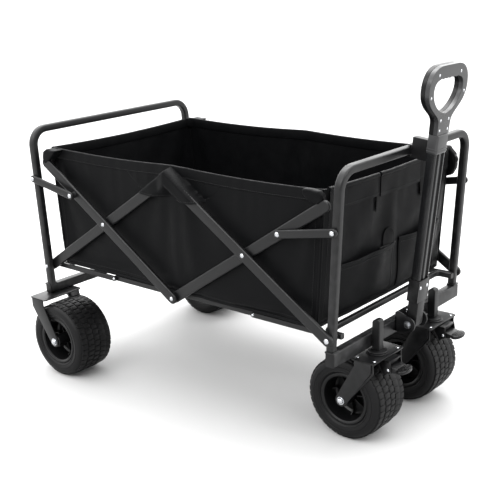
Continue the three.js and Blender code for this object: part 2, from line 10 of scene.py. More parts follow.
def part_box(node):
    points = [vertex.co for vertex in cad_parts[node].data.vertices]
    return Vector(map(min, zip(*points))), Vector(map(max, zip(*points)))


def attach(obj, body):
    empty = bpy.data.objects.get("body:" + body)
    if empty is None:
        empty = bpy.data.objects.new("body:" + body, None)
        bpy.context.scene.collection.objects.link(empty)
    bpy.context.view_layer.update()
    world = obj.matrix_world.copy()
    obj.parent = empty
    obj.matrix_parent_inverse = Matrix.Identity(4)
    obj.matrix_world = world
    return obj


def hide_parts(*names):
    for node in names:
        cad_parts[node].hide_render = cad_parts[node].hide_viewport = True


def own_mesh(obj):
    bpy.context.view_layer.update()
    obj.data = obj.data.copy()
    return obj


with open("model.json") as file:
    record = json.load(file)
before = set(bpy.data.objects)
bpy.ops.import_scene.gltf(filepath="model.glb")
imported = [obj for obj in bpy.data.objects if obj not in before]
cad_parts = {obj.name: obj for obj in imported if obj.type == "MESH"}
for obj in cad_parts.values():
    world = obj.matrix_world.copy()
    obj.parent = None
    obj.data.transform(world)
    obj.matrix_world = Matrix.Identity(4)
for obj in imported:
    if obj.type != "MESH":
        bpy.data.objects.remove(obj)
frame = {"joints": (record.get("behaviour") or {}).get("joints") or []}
scene = bpy.context.scene
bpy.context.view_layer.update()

# Folding camp wagon in metres: +X toward the pull handle, +Y to the wagon's left, +Z up.
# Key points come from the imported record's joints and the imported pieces' boxes.
pivot = {j["name"]: Vector(j["pos_m"]) for j in frame["joints"] if "pos_m" in j}
END_F = pivot["fold"].x
END_R = pivot["rear_frame_hinge"].x
MID_X = (END_F + END_R) / 2
FOOT_Z = pivot["fold"].z
HEAD_Z = pivot["centre_head_right"].z
CROSS_Z = pivot["front_cross_right"].z
SIDES = {"left": 1, "right": -1}
X, Y, Z = Vector((1, 0, 0)), Vector((0, 1, 0)), Vector((0, 0, 1))


# ---- Rivets ----------------------------------------------------------------------------
# Domed zinc-plated rivets and screws, one set of them for each body that they sit in. A
# Geometry Nodes group turns each one to its point's direction and sizes it by its radius.

def new_group(name, outputs):
    group = bpy.data.node_groups.new(name, "ShaderNodeTree")
    group.interface.new_socket("Vector", in_out="INPUT", socket_type="NodeSocketVector")
    group.interface.new_socket("Scale", in_out="INPUT", socket_type="NodeSocketFloat").default_value = 1
    for output in outputs:
        group.interface.new_socket(output, in_out="OUTPUT", socket_type="NodeSocketFloat")
    return group, group.nodes.new("NodeGroupInput"), group.nodes.new("NodeGroupOutput")


def scaled(group, source):
    node = group.nodes.new("ShaderNodeVectorMath")
    node.operation = "SCALE"
    group.links.new(source.outputs["Vector"], node.inputs[0])
    group.links.new(source.outputs["Scale"], node.inputs["Scale"])
    return node.outputs["Vector"]


def noise_node(tree, vector, scale, detail=3, roughness=0.55):
    node = tree.nodes.new("ShaderNodeTexNoise")
    node.inputs["Scale"].default_value = scale
    node.inputs["Detail"].default_value = detail
    node.inputs["Roughness"].default_value = roughness
    tree.links.new(vector, node.inputs["Vector"])
    return node.outputs["Fac"]


def remap(tree, value, from_low, from_high, to_low=0.0, to_high=1.0):
    node = tree.nodes.new("ShaderNodeMapRange")
    for socket, number in (("From Min", from_low), ("From Max", from_high),
                           ("To Min", to_low), ("To Max", to_high)):
        node.inputs[socket].default_value = number
    tree.links.new(value, node.inputs["Value"])
    return node.outputs["Result"]


def combine(tree, operation, a, b):
    node = tree.nodes.new("ShaderNodeMath")
    node.operation = operation
    for socket, value in zip(node.inputs, (a, b)):
        if isinstance(value, (int, float)):
            socket.default_value = value
        else:
            tree.links.new(value, socket)
    return node.outputs[0]


def mix(tree, a, b, factor):
    """Two colours, or the outputs of other nodes, mixed by a factor."""
    node = tree.nodes.new("ShaderNodeMix")
    node.data_type = "RGBA"
    for socket, value in (("A", a), ("B", b)):
        if isinstance(value, tuple):
            node.inputs[socket].default_value = (*value, 1)
        else:
            tree.links.new(value, node.inputs[socket])
    tree.links.new(factor, node.inputs["Factor"])
    return node.outputs["Result"]


def coat_group():
    """Orange peel height, cloudy tone and rubbed edges of a sprayed or moulded surface."""
    group, source, out = new_group("Coated surface", ("Height", "Tone", "Edge"))
    vector = scaled(group, source)
    peel = noise_node(group, vector, 900, 2)
    group.links.new(peel, out.inputs["Height"])
    group.links.new(noise_node(group, vector, 14, 4), out.inputs["Tone"])
    geometry = group.nodes.new("ShaderNodeNewGeometry")
    edge = remap(group, geometry.outputs["Pointiness"], 0.52, 0.6)
    broken = remap(group, noise_node(group, vector, 60, 5), 0.4, 0.75)
    group.links.new(combine(group, "MULTIPLY", edge, broken), out.inputs["Edge"])
    return group


def dust_group():
    """A thin settled film, thickest on faces that look up and in patches."""
    group, source, out = new_group("Dust film", ("Dust",))
    vector = scaled(group, source)
    geometry = group.nodes.new("ShaderNodeNewGeometry")
    split = group.nodes.new("ShaderNodeSeparateXYZ")
    group.links.new(geometry.outputs["Normal"], split.inputs[0])
    up = remap(group, split.outputs["Z"], -0.2, 1.0)
    patches = remap(group, noise_node(group, vector, 22, 6, 0.65), 0.38, 0.72)
    group.links.new(combine(group, "MULTIPLY", up, patches), out.inputs["Dust"])
    return group


def material(name, color, roughness, metallic=0.0, effect="coat", height=0.02, tone=0.15,
             wear=0.0, dust=0.05, scale=1.0, coordinates="Object", sheen=0.0, gloss=0.5):
    mat = bpy.data.materials.new(name)
    mat.use_nodes = True
    tree = mat.node_tree
    shader = tree.nodes["Principled BSDF"]
    where = tree.nodes.new("ShaderNodeTexCoord").outputs[coordinates]

    def group_node(key):
        node = tree.nodes.new("ShaderNodeGroup")
        node.node_tree = GROUPS[key]
        node.inputs["Scale"].default_value = scale
        tree.links.new(where, node.inputs["Vector"])
        return node

    main = group_node(effect)
    dark = tuple(c * (1 - tone) for c in color)
    light = tuple(min(1, c * (1 + tone)) for c in color)
    result = mix(tree, dark, light, main.outputs["Tone"])
    if wear:
        result = mix(tree, result, (0.2, 0.2, 0.205), combine(tree, "MULTIPLY", main.outputs["Edge"], wear))
    film = combine(tree, "MULTIPLY", group_node("dust").outputs["Dust"], dust)
    result = mix(tree, result, (0.19, 0.185, 0.175), film)
    tree.links.new(result, shader.inputs["Base Color"])
    tree.links.new(remap(tree, main.outputs["Tone"], 0.3, 0.7, roughness - 0.06, roughness + 0.08),
                   shader.inputs["Roughness"])
    shader.inputs["Metallic"].default_value = metallic
    shader.inputs["Sheen Weight"].default_value = sheen
    shader.inputs["Specular IOR Level"].default_value = gloss
    bump = tree.nodes.new("ShaderNodeBump")
    bump.inputs["Strength"].default_value = 0.35
    bump.inputs["Distance"].default_value = height / 1000
    tree.links.new(main.outputs["Height"], bump.inputs["Height"])
    tree.links.new(bump.outputs["Normal"], shader.inputs["Normal"])
    return mat


GROUPS = {"coat": coat_group(), "dust": dust_group()}

ZINC = material("Zinc-plated steel", (0.50, 0.51, 0.53), 0.24, 1.0, height=0.02, dust=0.02)


def convert(obj):
    """Replaces a modified object's mesh with the result and drops the modifiers."""
    graph = bpy.context.evaluated_depsgraph_get()
    mesh = bpy.data.meshes.new_from_object(obj.evaluated_get(graph))
    obj.modifiers.clear()
    obj.data = mesh
    return obj


def geometry_tree(name, **inputs):
    """A Geometry Nodes tree, its two end nodes and the identifiers of its inputs."""
    tree = bpy.data.node_groups.new(name, "GeometryNodeTree")
    ids = {}
    sockets = {"Geometry": ("Geometry", None), **inputs, "Material": ("Material", None)}
    for label, (kind, value) in sockets.items():
        item = tree.interface.new_socket(label, in_out="INPUT", socket_type=f"NodeSocket{kind}")
        if value is not None:
            item.default_value = value
        ids[label] = item.identifier
    tree.interface.new_socket("Geometry", in_out="OUTPUT", socket_type="NodeSocketGeometry")
    return tree, ids, tree.nodes.new("NodeGroupInput"), tree.nodes.new("NodeGroupOutput")


def painted(tree, source, instances):
    """Instances made real and given the tree's own material."""
    real = tree.nodes.new("GeometryNodeRealizeInstances")
    paint = tree.nodes.new("GeometryNodeSetMaterial")
    tree.links.new(instances, real.inputs["Geometry"])
    tree.links.new(real.outputs["Geometry"], paint.inputs["Geometry"])
    tree.links.new(source.outputs["Material"], paint.inputs["Material"])
    return paint.outputs["Geometry"]


def rivet_group():
    tree, ids, source, out = geometry_tree("Domed rivets")
    node, link = tree.nodes.new, tree.links.new
    dome = node("GeometryNodeMeshUVSphere")
    dome.inputs["Segments"].default_value = 20
    dome.inputs["Rings"].default_value = 12
    dome.inputs["Radius"].default_value = 1
    flat = node("GeometryNodeTransform")
    flat.inputs["Scale"].default_value = (1, 1, 0.52)
    link(dome.outputs["Mesh"], flat.inputs["Geometry"])
    collar = node("GeometryNodeMeshCylinder")
    collar.inputs["Vertices"].default_value = 20
    collar.inputs["Radius"].default_value = 1.14
    collar.inputs["Depth"].default_value = 0.22
    both = node("GeometryNodeJoinGeometry")
    link(flat.outputs["Geometry"], both.inputs[0])
    link(collar.outputs["Mesh"], both.inputs[0])
    heading = node("GeometryNodeInputNamedAttribute")
    heading.data_type = "FLOAT_VECTOR"
    heading.inputs["Name"].default_value = "heading"
    radius = node("GeometryNodeInputNamedAttribute")
    radius.inputs["Name"].default_value = "radius"
    align = node("FunctionNodeAlignRotationToVector")
    align.axis = "Z"
    link(heading.outputs["Attribute"], align.inputs["Vector"])
    points = node("GeometryNodeInstanceOnPoints")
    link(source.outputs["Geometry"], points.inputs["Points"])
    link(both.outputs["Geometry"], points.inputs["Instance"])
    link(align.outputs["Rotation"], points.inputs["Rotation"])
    link(radius.outputs["Attribute"], points.inputs["Scale"])
    link(painted(tree, source, points.outputs["Instances"]), out.inputs["Geometry"])
    return tree, ids


RIVETS, RIVET_INPUTS = rivet_group()
rivet_spots = {}


def rivet(body, point, heading, radius):
    rivet_spots.setdefault(body, []).append((Vector(point), Vector(heading), radius))


def set_rivets():
    for body, spots in rivet_spots.items():
        mesh = bpy.data.meshes.new(f"{body}_rivets")
        mesh.from_pydata([s[0] for s in spots], [], [])
        heading = mesh.attributes.new("heading", "FLOAT_VECTOR", "POINT")
        heading.data.foreach_set("vector", [c for s in spots for c in s[1]])
        mesh.attributes.new("radius", "FLOAT", "POINT").data.foreach_set("value", [s[2] for s in spots])
        obj = bpy.data.objects.new(mesh.name, mesh)
        scene.collection.objects.link(obj)
        modifier = obj.modifiers.new("Rivets", "NODES")
        modifier.node_group = RIVETS
        modifier[RIVET_INPUTS["Material"]] = ZINC
        convert(obj)
        obj.data.shade_smooth()
        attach(obj, body)


# ---- End hoops -------------------------------------------------------------------------
# Square tube bent into an upturned U, leaning outward about its foot pivots, with welded
# tabs at the crossbar and rivets at the foot and link pivots.

STEEL = material("Powder-coated steel", (0.0024, 0.0025, 0.0028), 0.38, height=0.05, wear=0.10, dust=0.004,
                 gloss=0.28)


def to_object(bm, name):
    mesh = bpy.data.meshes.new(name)
    bm.to_mesh(mesh)
    bm.free()
    obj = bpy.data.objects.new(name, mesh)
    scene.collection.objects.link(obj)
    return obj


def add(whole, part):
    """Adds one bmesh's faces to another."""
    mesh = bpy.data.meshes.new("part")
    part.to_mesh(mesh)
    part.free()
    whole.from_mesh(mesh)
    bpy.data.meshes.remove(mesh)
    return whole


def fit(source, name, body, mat, slot, *nodes, smooth=38):
    """Turns a bmesh into a finished piece that rides on a body and stands for CAD nodes."""
    obj = to_object(source, name) if isinstance(source, bmesh.types.BMesh) else source
    obj.name = name.replace(" ", "_")
    obj.data.materials.clear()
    obj.data.materials.append(mat)
    obj.data.shade_smooth()
    obj.data.set_sharp_from_angle(angle=math.radians(smooth))
    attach(obj, body)
    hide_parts(*nodes)
    return obj


def steel_part(bm, node, body):
    """A frame part that stands for one CAD node and takes its name."""
    return fit(bm, node.replace("_", " ").capitalize(), body, STEEL, "frame_steel", node)


def axes(origin, u, v, w):
    """A placement whose u, v and w run along three directions."""
    matrix = Matrix((u, v, w)).transposed().to_4x4()
    matrix.translation = origin
    return matrix


def slab(outline, low, high, bevel, place=None, segments=2, holes=()):
    """A flat plate: an outline in (u, v) given thickness along w, with rounded edges."""
    bm = bmesh.new()
    if holes:
        loops = [[bm.verts.new((u, v, low)) for u, v in loop] for loop in (outline, *holes)]
        edges = [bm.edges.new((a, b)) for loop in loops for a, b in zip(loop, loop[1:] + loop[:1])]
        bmesh.ops.triangle_fill(bm, edges=edges, use_beauty=True)
        faces = list(bm.faces)
    else:
        faces = [bm.faces.new([bm.verts.new((u, v, low)) for u, v in outline])]
    grown = bmesh.ops.extrude_face_region(bm, geom=faces)["geom"]
    for vert in (g for g in grown if isinstance(g, bmesh.types.BMVert)):
        vert.co.z = high
    bmesh.ops.recalc_face_normals(bm, faces=bm.faces)
    if bevel:
        sharp = [e for e in bm.edges if len(e.link_faces) == 2 and e.calc_face_angle() > 0.45]
        bmesh.ops.bevel(bm, geom=sharp, offset=bevel, segments=segments, profile=0.6,
                        affect="EDGES", clamp_overlap=True)
    if place:
        bmesh.ops.transform(bm, matrix=place, verts=bm.verts)
        bmesh.ops.recalc_face_normals(bm, faces=bm.faces)
    return bm


def box_bm(low, high, bevel):
    (x0, y0, z0), (x1, y1, z1) = low, high
    return slab([(x0, y0), (x1, y0), (x1, y1), (x0, y1)], z0, z1, bevel)


def arc(cx, cy, radius, start, end, steps):
    angles = [math.radians(start + (end - start) * i / steps) for i in range(steps + 1)]
    return [(cx + radius * math.cos(a), cy + radius * math.sin(a)) for a in angles]


def rounded_rectangle(width, height, r, steps=4):
    w, h = width / 2 - r, height / 2 - r
    corners = ((w, h, 0), (-w, h, 90), (-w, -h, 180), (w, -h, 270))
    return [p for cx, cy, a in corners for p in arc(cx, cy, r, a, a + 90, steps)]


def sweep(path, section, side, closed=False):
    """A section (u along side, v square to it) carried along a path of points."""
    points = [Vector(p) for p in path]
    count = len(points)
    bm = bmesh.new()
    rings = []
    for i, point in enumerate(points):
        before = points[i - 1] if i or closed else point
        after = points[(i + 1) % count] if i < count - 1 or closed else point
        along = (after - before).normalized()
        across = side(i) if callable(side) else side
        across = (across - along * across.dot(along)).normalized()
        out = along.cross(across)
        rings.append([bm.verts.new(point + across * u + out * v) for u, v in section])
    pairs = list(zip(rings, rings[1:])) + ([(rings[-1], rings[0])] if closed else [])
    for a, b in pairs:
        for k in range(len(section)):
            n = (k + 1) % len(section)
            bm.faces.new((a[k], a[n], b[n], b[k]))
    if not closed:
        bm.faces.new(rings[0][::-1])
        bm.faces.new(rings[-1])
    bmesh.ops.recalc_face_normals(bm, faces=bm.faces)
    return bm


def bent(points, radius, steps=8):
    """A polyline with its inner corners rounded."""
    points = [Vector(p) for p in points]
    path = [points[0]]
    for before, corner, after in zip(points, points[1:], points[2:]):
        a, b = (before - corner).normalized(), (after - corner).normalized()
        half = a.angle(b) / 2
        reach = radius / math.tan(half)
        centre = corner + (a + b).normalized() * (radius / math.sin(half))
        start, end = corner + a * reach - centre, corner + b * reach - centre
        full = start.angle(end)
        for k in range(steps + 1):
            t = k / steps
            swing = start * math.sin((1 - t) * full) + end * math.sin(t * full)
            path.append(centre + swing / math.sin(full))
    return path + [points[-1]]


TUBE = 0.0168
HOOP_BEND = 0.038
HOOP_LEAN = math.radians(3.4)
HOOP_RISE = 0.330
LINK_RISE = 0.217
tube_section = rounded_rectangle(TUBE, TUBE, 0.0042)


def hoop(end, foot_x, leg_y, bar_top):
    lean = Matrix.Translation((foot_x, 0, FOOT_Z)) @ Matrix.Rotation(end * HOOP_LEAN, 4, "Y")
    low = bar_top - FOOT_Z - 0.003
    corners = [(0, -leg_y, low), (0, -leg_y, HOOP_RISE), (0, leg_y, HOOP_RISE), (0, leg_y, low)]
    bm = sweep(bent(corners, HOOP_BEND, 12), tube_section, X)
    bmesh.ops.transform(bm, matrix=lean, verts=bm.verts)
    for side in (1, -1):
        foot = box_bm((foot_x - 0.0095, side * leg_y - 0.0115, bar_top - 0.0005),
                      (foot_x + 0.0095, side * leg_y + 0.0115, bar_top + 0.003), 0.0012)
        add(bm, foot)
    return bm, lean


front_bar_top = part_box("front_crossbar")[1].z
rear_bar_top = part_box("rear_crossbar")[1].z
FRONT_LEG_Y, REAR_LEG_Y = 0.2417, 0.260
front_hoop, front_lean = hoop(1, END_F, FRONT_LEG_Y, front_bar_top)
rear_hoop, rear_lean = hoop(-1, END_R, REAR_LEG_Y, rear_bar_top)
steel_part(front_hoop, "front_hoop", "front_frame")
steel_part(rear_hoop, "rear_hoop", "rear_frame")
for side in (1, -1):
    rivet("front_frame", front_lean @ Vector((0, side * 0.2605, LINK_RISE)), Y * side, 0.0042)
    rivet("rear_frame", rear_lean @ Vector((0, side * 0.2765, LINK_RISE)), Y * side, 0.0042)
    rivet("rear_frame", rear_lean @ Vector((0, side * 0.2692, 0)), Y * side, 0.0038)
    rivet("front_frame", Vector((END_F, side * 0.2608, FOOT_Z)), Y * side, 0.0048)


# ---- Crossbars and floor rails ---------------------------------------------------------
# Rectangular steel tubes across both ends, closed with plastic end plugs, and a bent
# square rod at each end of the basket's floor.

NYLON = material("Black nylon", (0.0026, 0.0026, 0.0029), 0.34, height=0.08, dust=0.006, gloss=0.22)


def merged(*parts):
    whole = bmesh.new()
    for part in parts:
        add(whole, part)
    return whole


PLUG_DEPTH = 0.0025


def crossbar(node, body):
    low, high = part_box(node)
    middle = (low + high) / 2
    size = high - low
    section = rounded_rectangle(size.x, size.z, 0.0032)
    ends = [(middle.x, low.y + PLUG_DEPTH, middle.z), (middle.x, high.y - PLUG_DEPTH, middle.z)]
    steel_part(sweep(ends, section, X), node, body)
    plugs = []
    for side in (1, -1):
        inner = (high.y if side > 0 else low.y) - side * PLUG_DEPTH
        plugs.append(slab(rounded_rectangle(size.x - 0.001, size.z - 0.001, 0.0025), 0, PLUG_DEPTH, 0.0009,
                          axes((middle.x, inner, middle.z), X, Z * -side, Y * side)))
    fit(merged(*plugs), f"{node} end plugs", body, NYLON, "black_plastic")


crossbar("front_crossbar", "front_frame")
crossbar("rear_crossbar", "rear_frame")


def floor_rail(node, body):
    low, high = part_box(node)
    end = 1 if low.x > MID_X else -1
    tip, cross = (high.x, low.x) if end > 0 else (low.x, high.x)
    half, r = (high.y - low.y) / 2, 0.006
    cross += end * r
    z = (low.z + high.z) / 2
    corners = [(tip, -half + r, z), (cross, -half + r, z), (cross, half - r, z), (tip, half - r, z)]
    bm = sweep(bent(corners, 0.014, 8), rounded_rectangle(0.012, 0.012, 0.003), Z)
    steel_part(bm, node, body)


floor_rail("front_floor_rail", "front_frame")
floor_rail("rear_floor_rail", "rear_frame")


# ---- Scissor bars, links and floor stays -----------------------------------------------
# Flattened steel tubes with round ends, an outer and an inner layer on each side, and
# thinner links and stays. Each joint is a domed rivet on its outermost layer.

def side_view(x=0.0, z=0.0, angle=0.0, y=0.0):
    """Plates seen from the side: u forward and v up after turning by angle, w across."""
    c, s = math.cos(angle), math.sin(angle)
    return axes((x, y, z), Vector((c, 0, s)), Vector((-s, 0, c)), Y)


def span(side, inside, outside):
    """The low and high Y of a plate between two distances from the middle plane."""
    return sorted((side * inside, side * outside))


def strap(length, height, steps=10):
    r = height / 2
    return arc(length, 0, r, -90, 90, steps) + arc(0, 0, r, 90, 270, steps)


def turned(profile, segments, place=None):
    """A profile of (radius, height) turned round the w axis; ends on the axis are closed."""
    bm = bmesh.new()
    rings = []
    for radius, height in profile:
        if radius < 1e-6:
            rings.append([bm.verts.new((0, 0, height))])
        else:
            angles = [2 * math.pi * k / segments for k in range(segments)]
            rings.append([bm.verts.new((radius * math.cos(a), radius * math.sin(a), height)) for a in angles])
    for a, b in zip(rings, rings[1:]):
        for k in range(segments):
            n = (k + 1) % segments
            corners = [a[k % len(a)], a[n % len(a)], b[n % len(b)], b[k % len(b)]]
            bm.faces.new(list(dict.fromkeys(corners)))
    bmesh.ops.recalc_face_normals(bm, faces=bm.faces)
    if place:
        bmesh.ops.transform(bm, matrix=place, verts=bm.verts)
        bmesh.ops.recalc_face_normals(bm, faces=bm.faces)
    return bm


def outward(point, side):
    """A placement at a point whose w axis points out of the wagon on that side."""
    return axes(point, X, Z * -side, Y * side)


BAR_LENGTH = 2 * (Vector((END_F, 0, FOOT_Z)) - Vector((pivot["front_cross_right"].x, 0, CROSS_Z))).length
BAR_ANGLE = math.atan2(HEAD_Z - FOOT_Z, END_F - MID_X)
BAR_HEIGHT = 0.024
FREE_HEAD = 0.466
FRONT_HEAD = 0.477
INNER_Y, OUTER_Y, BAR_THICK, LINK_THICK = 0.2417, 0.2513, 0.009, 0.007


def flat_bar(node, body, side, x, angle, length, height, inside, thick, name=None, bevel=0.0041, extra=()):
    low, high = span(side, inside, inside + thick)
    bm = slab(strap(length, height), low, high, bevel, side_view(x, FOOT_Z, angle), segments=4)
    for part in extra:
        add(bm, part)
    return fit(bm, name or node.replace("_", " ").capitalize(), body, STEEL, "frame_steel", node)


def along(x, angle, distance, y):
    return Vector((x + distance * math.cos(angle), y, FOOT_Z + distance * math.sin(angle)))


LINK_REACH = 0.1056
for label, side in SIDES.items():
    rise, fall = BAR_ANGLE, math.pi - BAR_ANGLE
    outer_face = side * (OUTER_Y + BAR_THICK)
    inner_face = side * (INNER_Y - 0.0003)
    half = BAR_LENGTH / 2
    boss = turned([(0, 0), (0.0075, 0), (0.0075, 0.0082), (0, 0.0082)], 20,
                  outward(along(MID_X, fall, half + LINK_REACH, side * (OUTER_Y + BAR_THICK - 0.0002)), side))
    flat_bar(f"rear_outer_bar_{label}", f"rear_outer_bar_{label}", side, MID_X, fall, FREE_HEAD,
             BAR_HEIGHT, OUTER_Y, BAR_THICK, extra=(boss,))
    flat_bar(f"rear_inner_bar_{label}", f"rear_inner_bar_{label}", side, END_R, rise, BAR_LENGTH,
             BAR_HEIGHT, INNER_Y, BAR_THICK)
    flat_bar(f"front_inner_bar_{label}", f"front_inner_bar_{label}", side, MID_X, rise, FRONT_HEAD,
             BAR_HEIGHT, INNER_Y, BAR_THICK)
    flat_bar(f"front_outer_bar_{label}", f"front_outer_bar_{label}", side, END_F, fall, BAR_LENGTH,
             BAR_HEIGHT, OUTER_Y, BAR_THICK)
    for body, x, angle, distance in ((f"rear_outer_bar_{label}", MID_X, fall, 0),
                                     (f"rear_outer_bar_{label}", MID_X, fall, half),
                                     (f"front_outer_bar_{label}", END_F, fall, half),
                                     (f"front_outer_bar_{label}", END_F, fall, BAR_LENGTH)):
        if distance < BAR_LENGTH:
            rivet(body, along(x, angle, distance, outer_face), Y * side, 0.0042)
        rivet(body, along(x, angle, distance, inner_face), Y * -side, 0.0038)


def link(node, side, end, pivot_point, inside):
    rest = Vector((MID_X + end * (END_F - MID_X) / 2 + end * LINK_REACH * math.cos(BAR_ANGLE), 0,
                   CROSS_Z + LINK_REACH * math.sin(BAR_ANGLE)))
    across = rest - Vector((pivot_point.x, 0, pivot_point.z))
    angle = math.atan2(across.z, across.x)
    low, high = span(side, inside, inside + LINK_THICK)
    bm = slab(strap(across.length, 0.017), low, high, 0.0031,
              side_view(pivot_point.x, pivot_point.z, angle), 3)
    steel_part(bm, node, node)
    rivet(node, Vector((rest.x, side * (inside + LINK_THICK), rest.z)), Y * side, 0.0046)


for label, side in SIDES.items():
    link(f"front_link_{label}", side, 1, pivot[f"front_link_{label}_hinge"], OUTER_Y)
    link(f"rear_link_{label}", side, -1, pivot[f"rear_link_{label}_hinge"], 0.2693)
    for place in ("front", "rear"):
        for part in ("outer", "inner"):
            node = f"{place}_{part}_stay_{label}"
            low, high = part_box(node)
            start = pivot[f"{node}_hinge"].x
            heading = 0 if start < (low.x + high.x) / 2 else math.pi
            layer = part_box(f"{place}_inner_stay_{label}")
            thick = layer[1].y - layer[0].y
            inside = min(abs(layer[0].y), abs(layer[1].y)) + (thick + 0.0003 if part == "outer" else 0)
            flat_bar(node, node, side, start, heading, (END_F - MID_X) / 2, 0.012, inside, thick, bevel=0.002)
            if part == "outer":
                knuckle = start + math.copysign((END_F - MID_X) / 2, MID_X - start)
                rivet(node, Vector((knuckle, side * (inside + thick), FOOT_Z)), Y * side, 0.0030)


# ---- Wheels ----------------------------------------------------------------------------
# Wide tyres with rows of staggered lugs set by a Geometry Nodes group, on deep dished
# hubs with ribs behind a raised rim ring.

RUBBER = material("Tyre rubber", (0.0028, 0.0028, 0.0031), 0.50, height=0.12, dust=0.010, scale=0.5,
                  gloss=0.16)


def lying(centre=(0, 0, 0)):
    """A placement whose w axis lies across the wagon."""
    return axes(centre, X, Z * -1, Y)


def tread_group():
    tree, ids, source, out = geometry_tree(
        "Tread row", Lug=("Object", None), Count=("Int", 36), Radius=("Float", 0.09),
        Offset=("Float", 0), Phase=("Float", 0), Skew=("Float", 0))
    node, link = tree.nodes.new, tree.links.new
    ring = node("GeometryNodeMeshCircle")
    link(source.outputs["Count"], ring.inputs["Vertices"])
    link(source.outputs["Radius"], ring.inputs["Radius"])
    normal = node("GeometryNodeInputPosition")
    upright = node("FunctionNodeAlignRotationToVector")
    upright.axis = "Z"
    link(normal.outputs["Position"], upright.inputs["Vector"])
    level = node("FunctionNodeAlignRotationToVector")
    level.axis = "Y"
    level.pivot_axis = "Z"
    level.inputs["Vector"].default_value = (0, 0, 1)
    link(upright.outputs["Rotation"], level.inputs["Rotation"])
    spin = node("FunctionNodeAxisAngleToRotation")
    link(source.outputs["Skew"], spin.inputs["Angle"])
    skewed = node("FunctionNodeRotateRotation")
    skewed.rotation_space = "LOCAL"
    link(level.outputs["Rotation"], skewed.inputs["Rotation"])
    link(spin.outputs["Rotation"], skewed.inputs["Rotate By"])
    info = node("GeometryNodeObjectInfo")
    link(source.outputs["Lug"], info.inputs["Object"])
    lugs = node("GeometryNodeInstanceOnPoints")
    link(ring.outputs["Mesh"], lugs.inputs["Points"])
    link(info.outputs["Geometry"], lugs.inputs["Instance"])
    link(skewed.outputs["Rotation"], lugs.inputs["Rotation"])
    turn = node("ShaderNodeCombineXYZ")
    link(source.outputs["Phase"], turn.inputs["Z"])
    shift = node("ShaderNodeCombineXYZ")
    link(source.outputs["Offset"], shift.inputs["Z"])
    move = node("GeometryNodeTransform")
    link(lugs.outputs["Instances"], move.inputs["Geometry"])
    link(turn.outputs["Vector"], move.inputs["Rotation"])
    link(shift.outputs["Vector"], move.inputs["Translation"])
    stand = node("GeometryNodeTransform")
    stand.inputs["Rotation"].default_value = (-math.pi / 2, 0, 0)
    link(move.outputs["Geometry"], stand.inputs["Geometry"])
    whole = node("GeometryNodeJoinGeometry")
    link(source.outputs["Geometry"], whole.inputs[0])
    link(painted(tree, source, stand.outputs["Geometry"]), whole.inputs[0])
    link(whole.outputs["Geometry"], out.inputs["Geometry"])
    return tree, ids


TREAD, TREAD_INPUTS = tread_group()
WHEEL_R = 0.090
LUG_HEIGHT = 0.0017
LUGS_IN_ROW = 40


def lug(name, outline):
    obj = to_object(slab(outline, -0.004, LUG_HEIGHT, 0.0011), name)
    obj.hide_render = True
    return obj


block_lug = lug("Block lug", [(-0.0060, -0.0082), (0.0052, -0.0088), (0.0060, 0.0082), (-0.0052, 0.0088)])
bar_lug = lug("Shoulder lug", [(-0.0062, -0.0090), (0.0064, -0.0084), (0.0058, 0.0066), (-0.0060, 0.0066)])
small_lug = lug("Centre lug", [(-0.0062, -0.0070), (0.0050, -0.0082), (0.0062, 0.0070), (-0.0050, 0.0082)])


def lie_across(profile):
    """Turns a (radius, across) profile about the wheel's own axis, along Y."""
    return turned(profile, 96, lying())


base_r = WHEEL_R - LUG_HEIGHT
tyre_half = [(0.0573, 0.0478), (0.0600, 0.0505), (0.0610, 0.0512), (0.0622, 0.0505), (0.0660, 0.0520),
             (0.0700, 0.0522), (0.0706, 0.0514), (0.0718, 0.0514), (0.0724, 0.0521), (0.0775, 0.0512),
             (0.0815, 0.0494), (0.0842, 0.0464), (0.0859, 0.0420), (0.0870, 0.0370), (base_r, 0.0280)]
tyre_profile = [(r, -y) for r, y in tyre_half] + [(r, y) for r, y in reversed(tyre_half)]
tyre_mesh = lie_across(tyre_profile + [tyre_profile[0]])
tyre_source = to_object(tyre_mesh, "Tyre")
rows = [(small_lug, 0.0, 0.0, 0.12), (block_lug, 0.0182, 0.5, -0.10),
        (block_lug, -0.0182, 0.5, 0.10 + math.pi), (bar_lug, 0.0375, 0.0, 0.06),
        (bar_lug, -0.0375, 0.0, math.pi - 0.06)]
for shape, offset, phase, skew in rows:
    drop = 0.0016 if shape is bar_lug else 0.0
    modifier = tyre_source.modifiers.new("Tread row", "NODES")
    modifier.node_group = TREAD
    values = {"Lug": shape, "Count": LUGS_IN_ROW, "Radius": base_r - drop, "Offset": offset,
              "Phase": phase * 2 * math.pi / LUGS_IN_ROW, "Skew": skew, "Material": RUBBER}
    for key, value in values.items():
        modifier[TREAD_INPUTS[key]] = value
tyre_shape = convert(tyre_source).data
bpy.data.objects.remove(tyre_source)
for shape in (block_lug, bar_lug, small_lug):
    bpy.data.objects.remove(shape)


def hub_bmesh():
    dish = [(0.0055, 0.0535), (0.0125, 0.0535), (0.0140, 0.0520), (0.0140, 0.0120), (0.0180, 0.0060),
            (0.0430, 0.0060), (0.0465, 0.0090), (0.0480, 0.0440), (0.0490, 0.0468), (0.0520, 0.0488),
            (0.0553, 0.0488), (0.0570, 0.0472)]
    profile = [(r, -y) for r, y in dish] + [(r, y) for r, y in reversed(dish)]
    bm = turned(profile + [profile[0]], 64, lying())
    for k in range(8):
        rib = [(0.0130, 0.0050), (0.0472, 0.0050), (0.0472, 0.0200), (0.0400, 0.0120), (0.0130, 0.0200)]
        turn = Matrix.Rotation(2 * math.pi * k / 8, 4, "Y")
        for side in (1, -1):
            piece = slab([(r, side * y) for r, y in rib], -0.0014, 0.0014, 0.0005,
                         turn @ axes((0, 0, 0), X, Y, Z))
            add(bm, piece)
    return bm


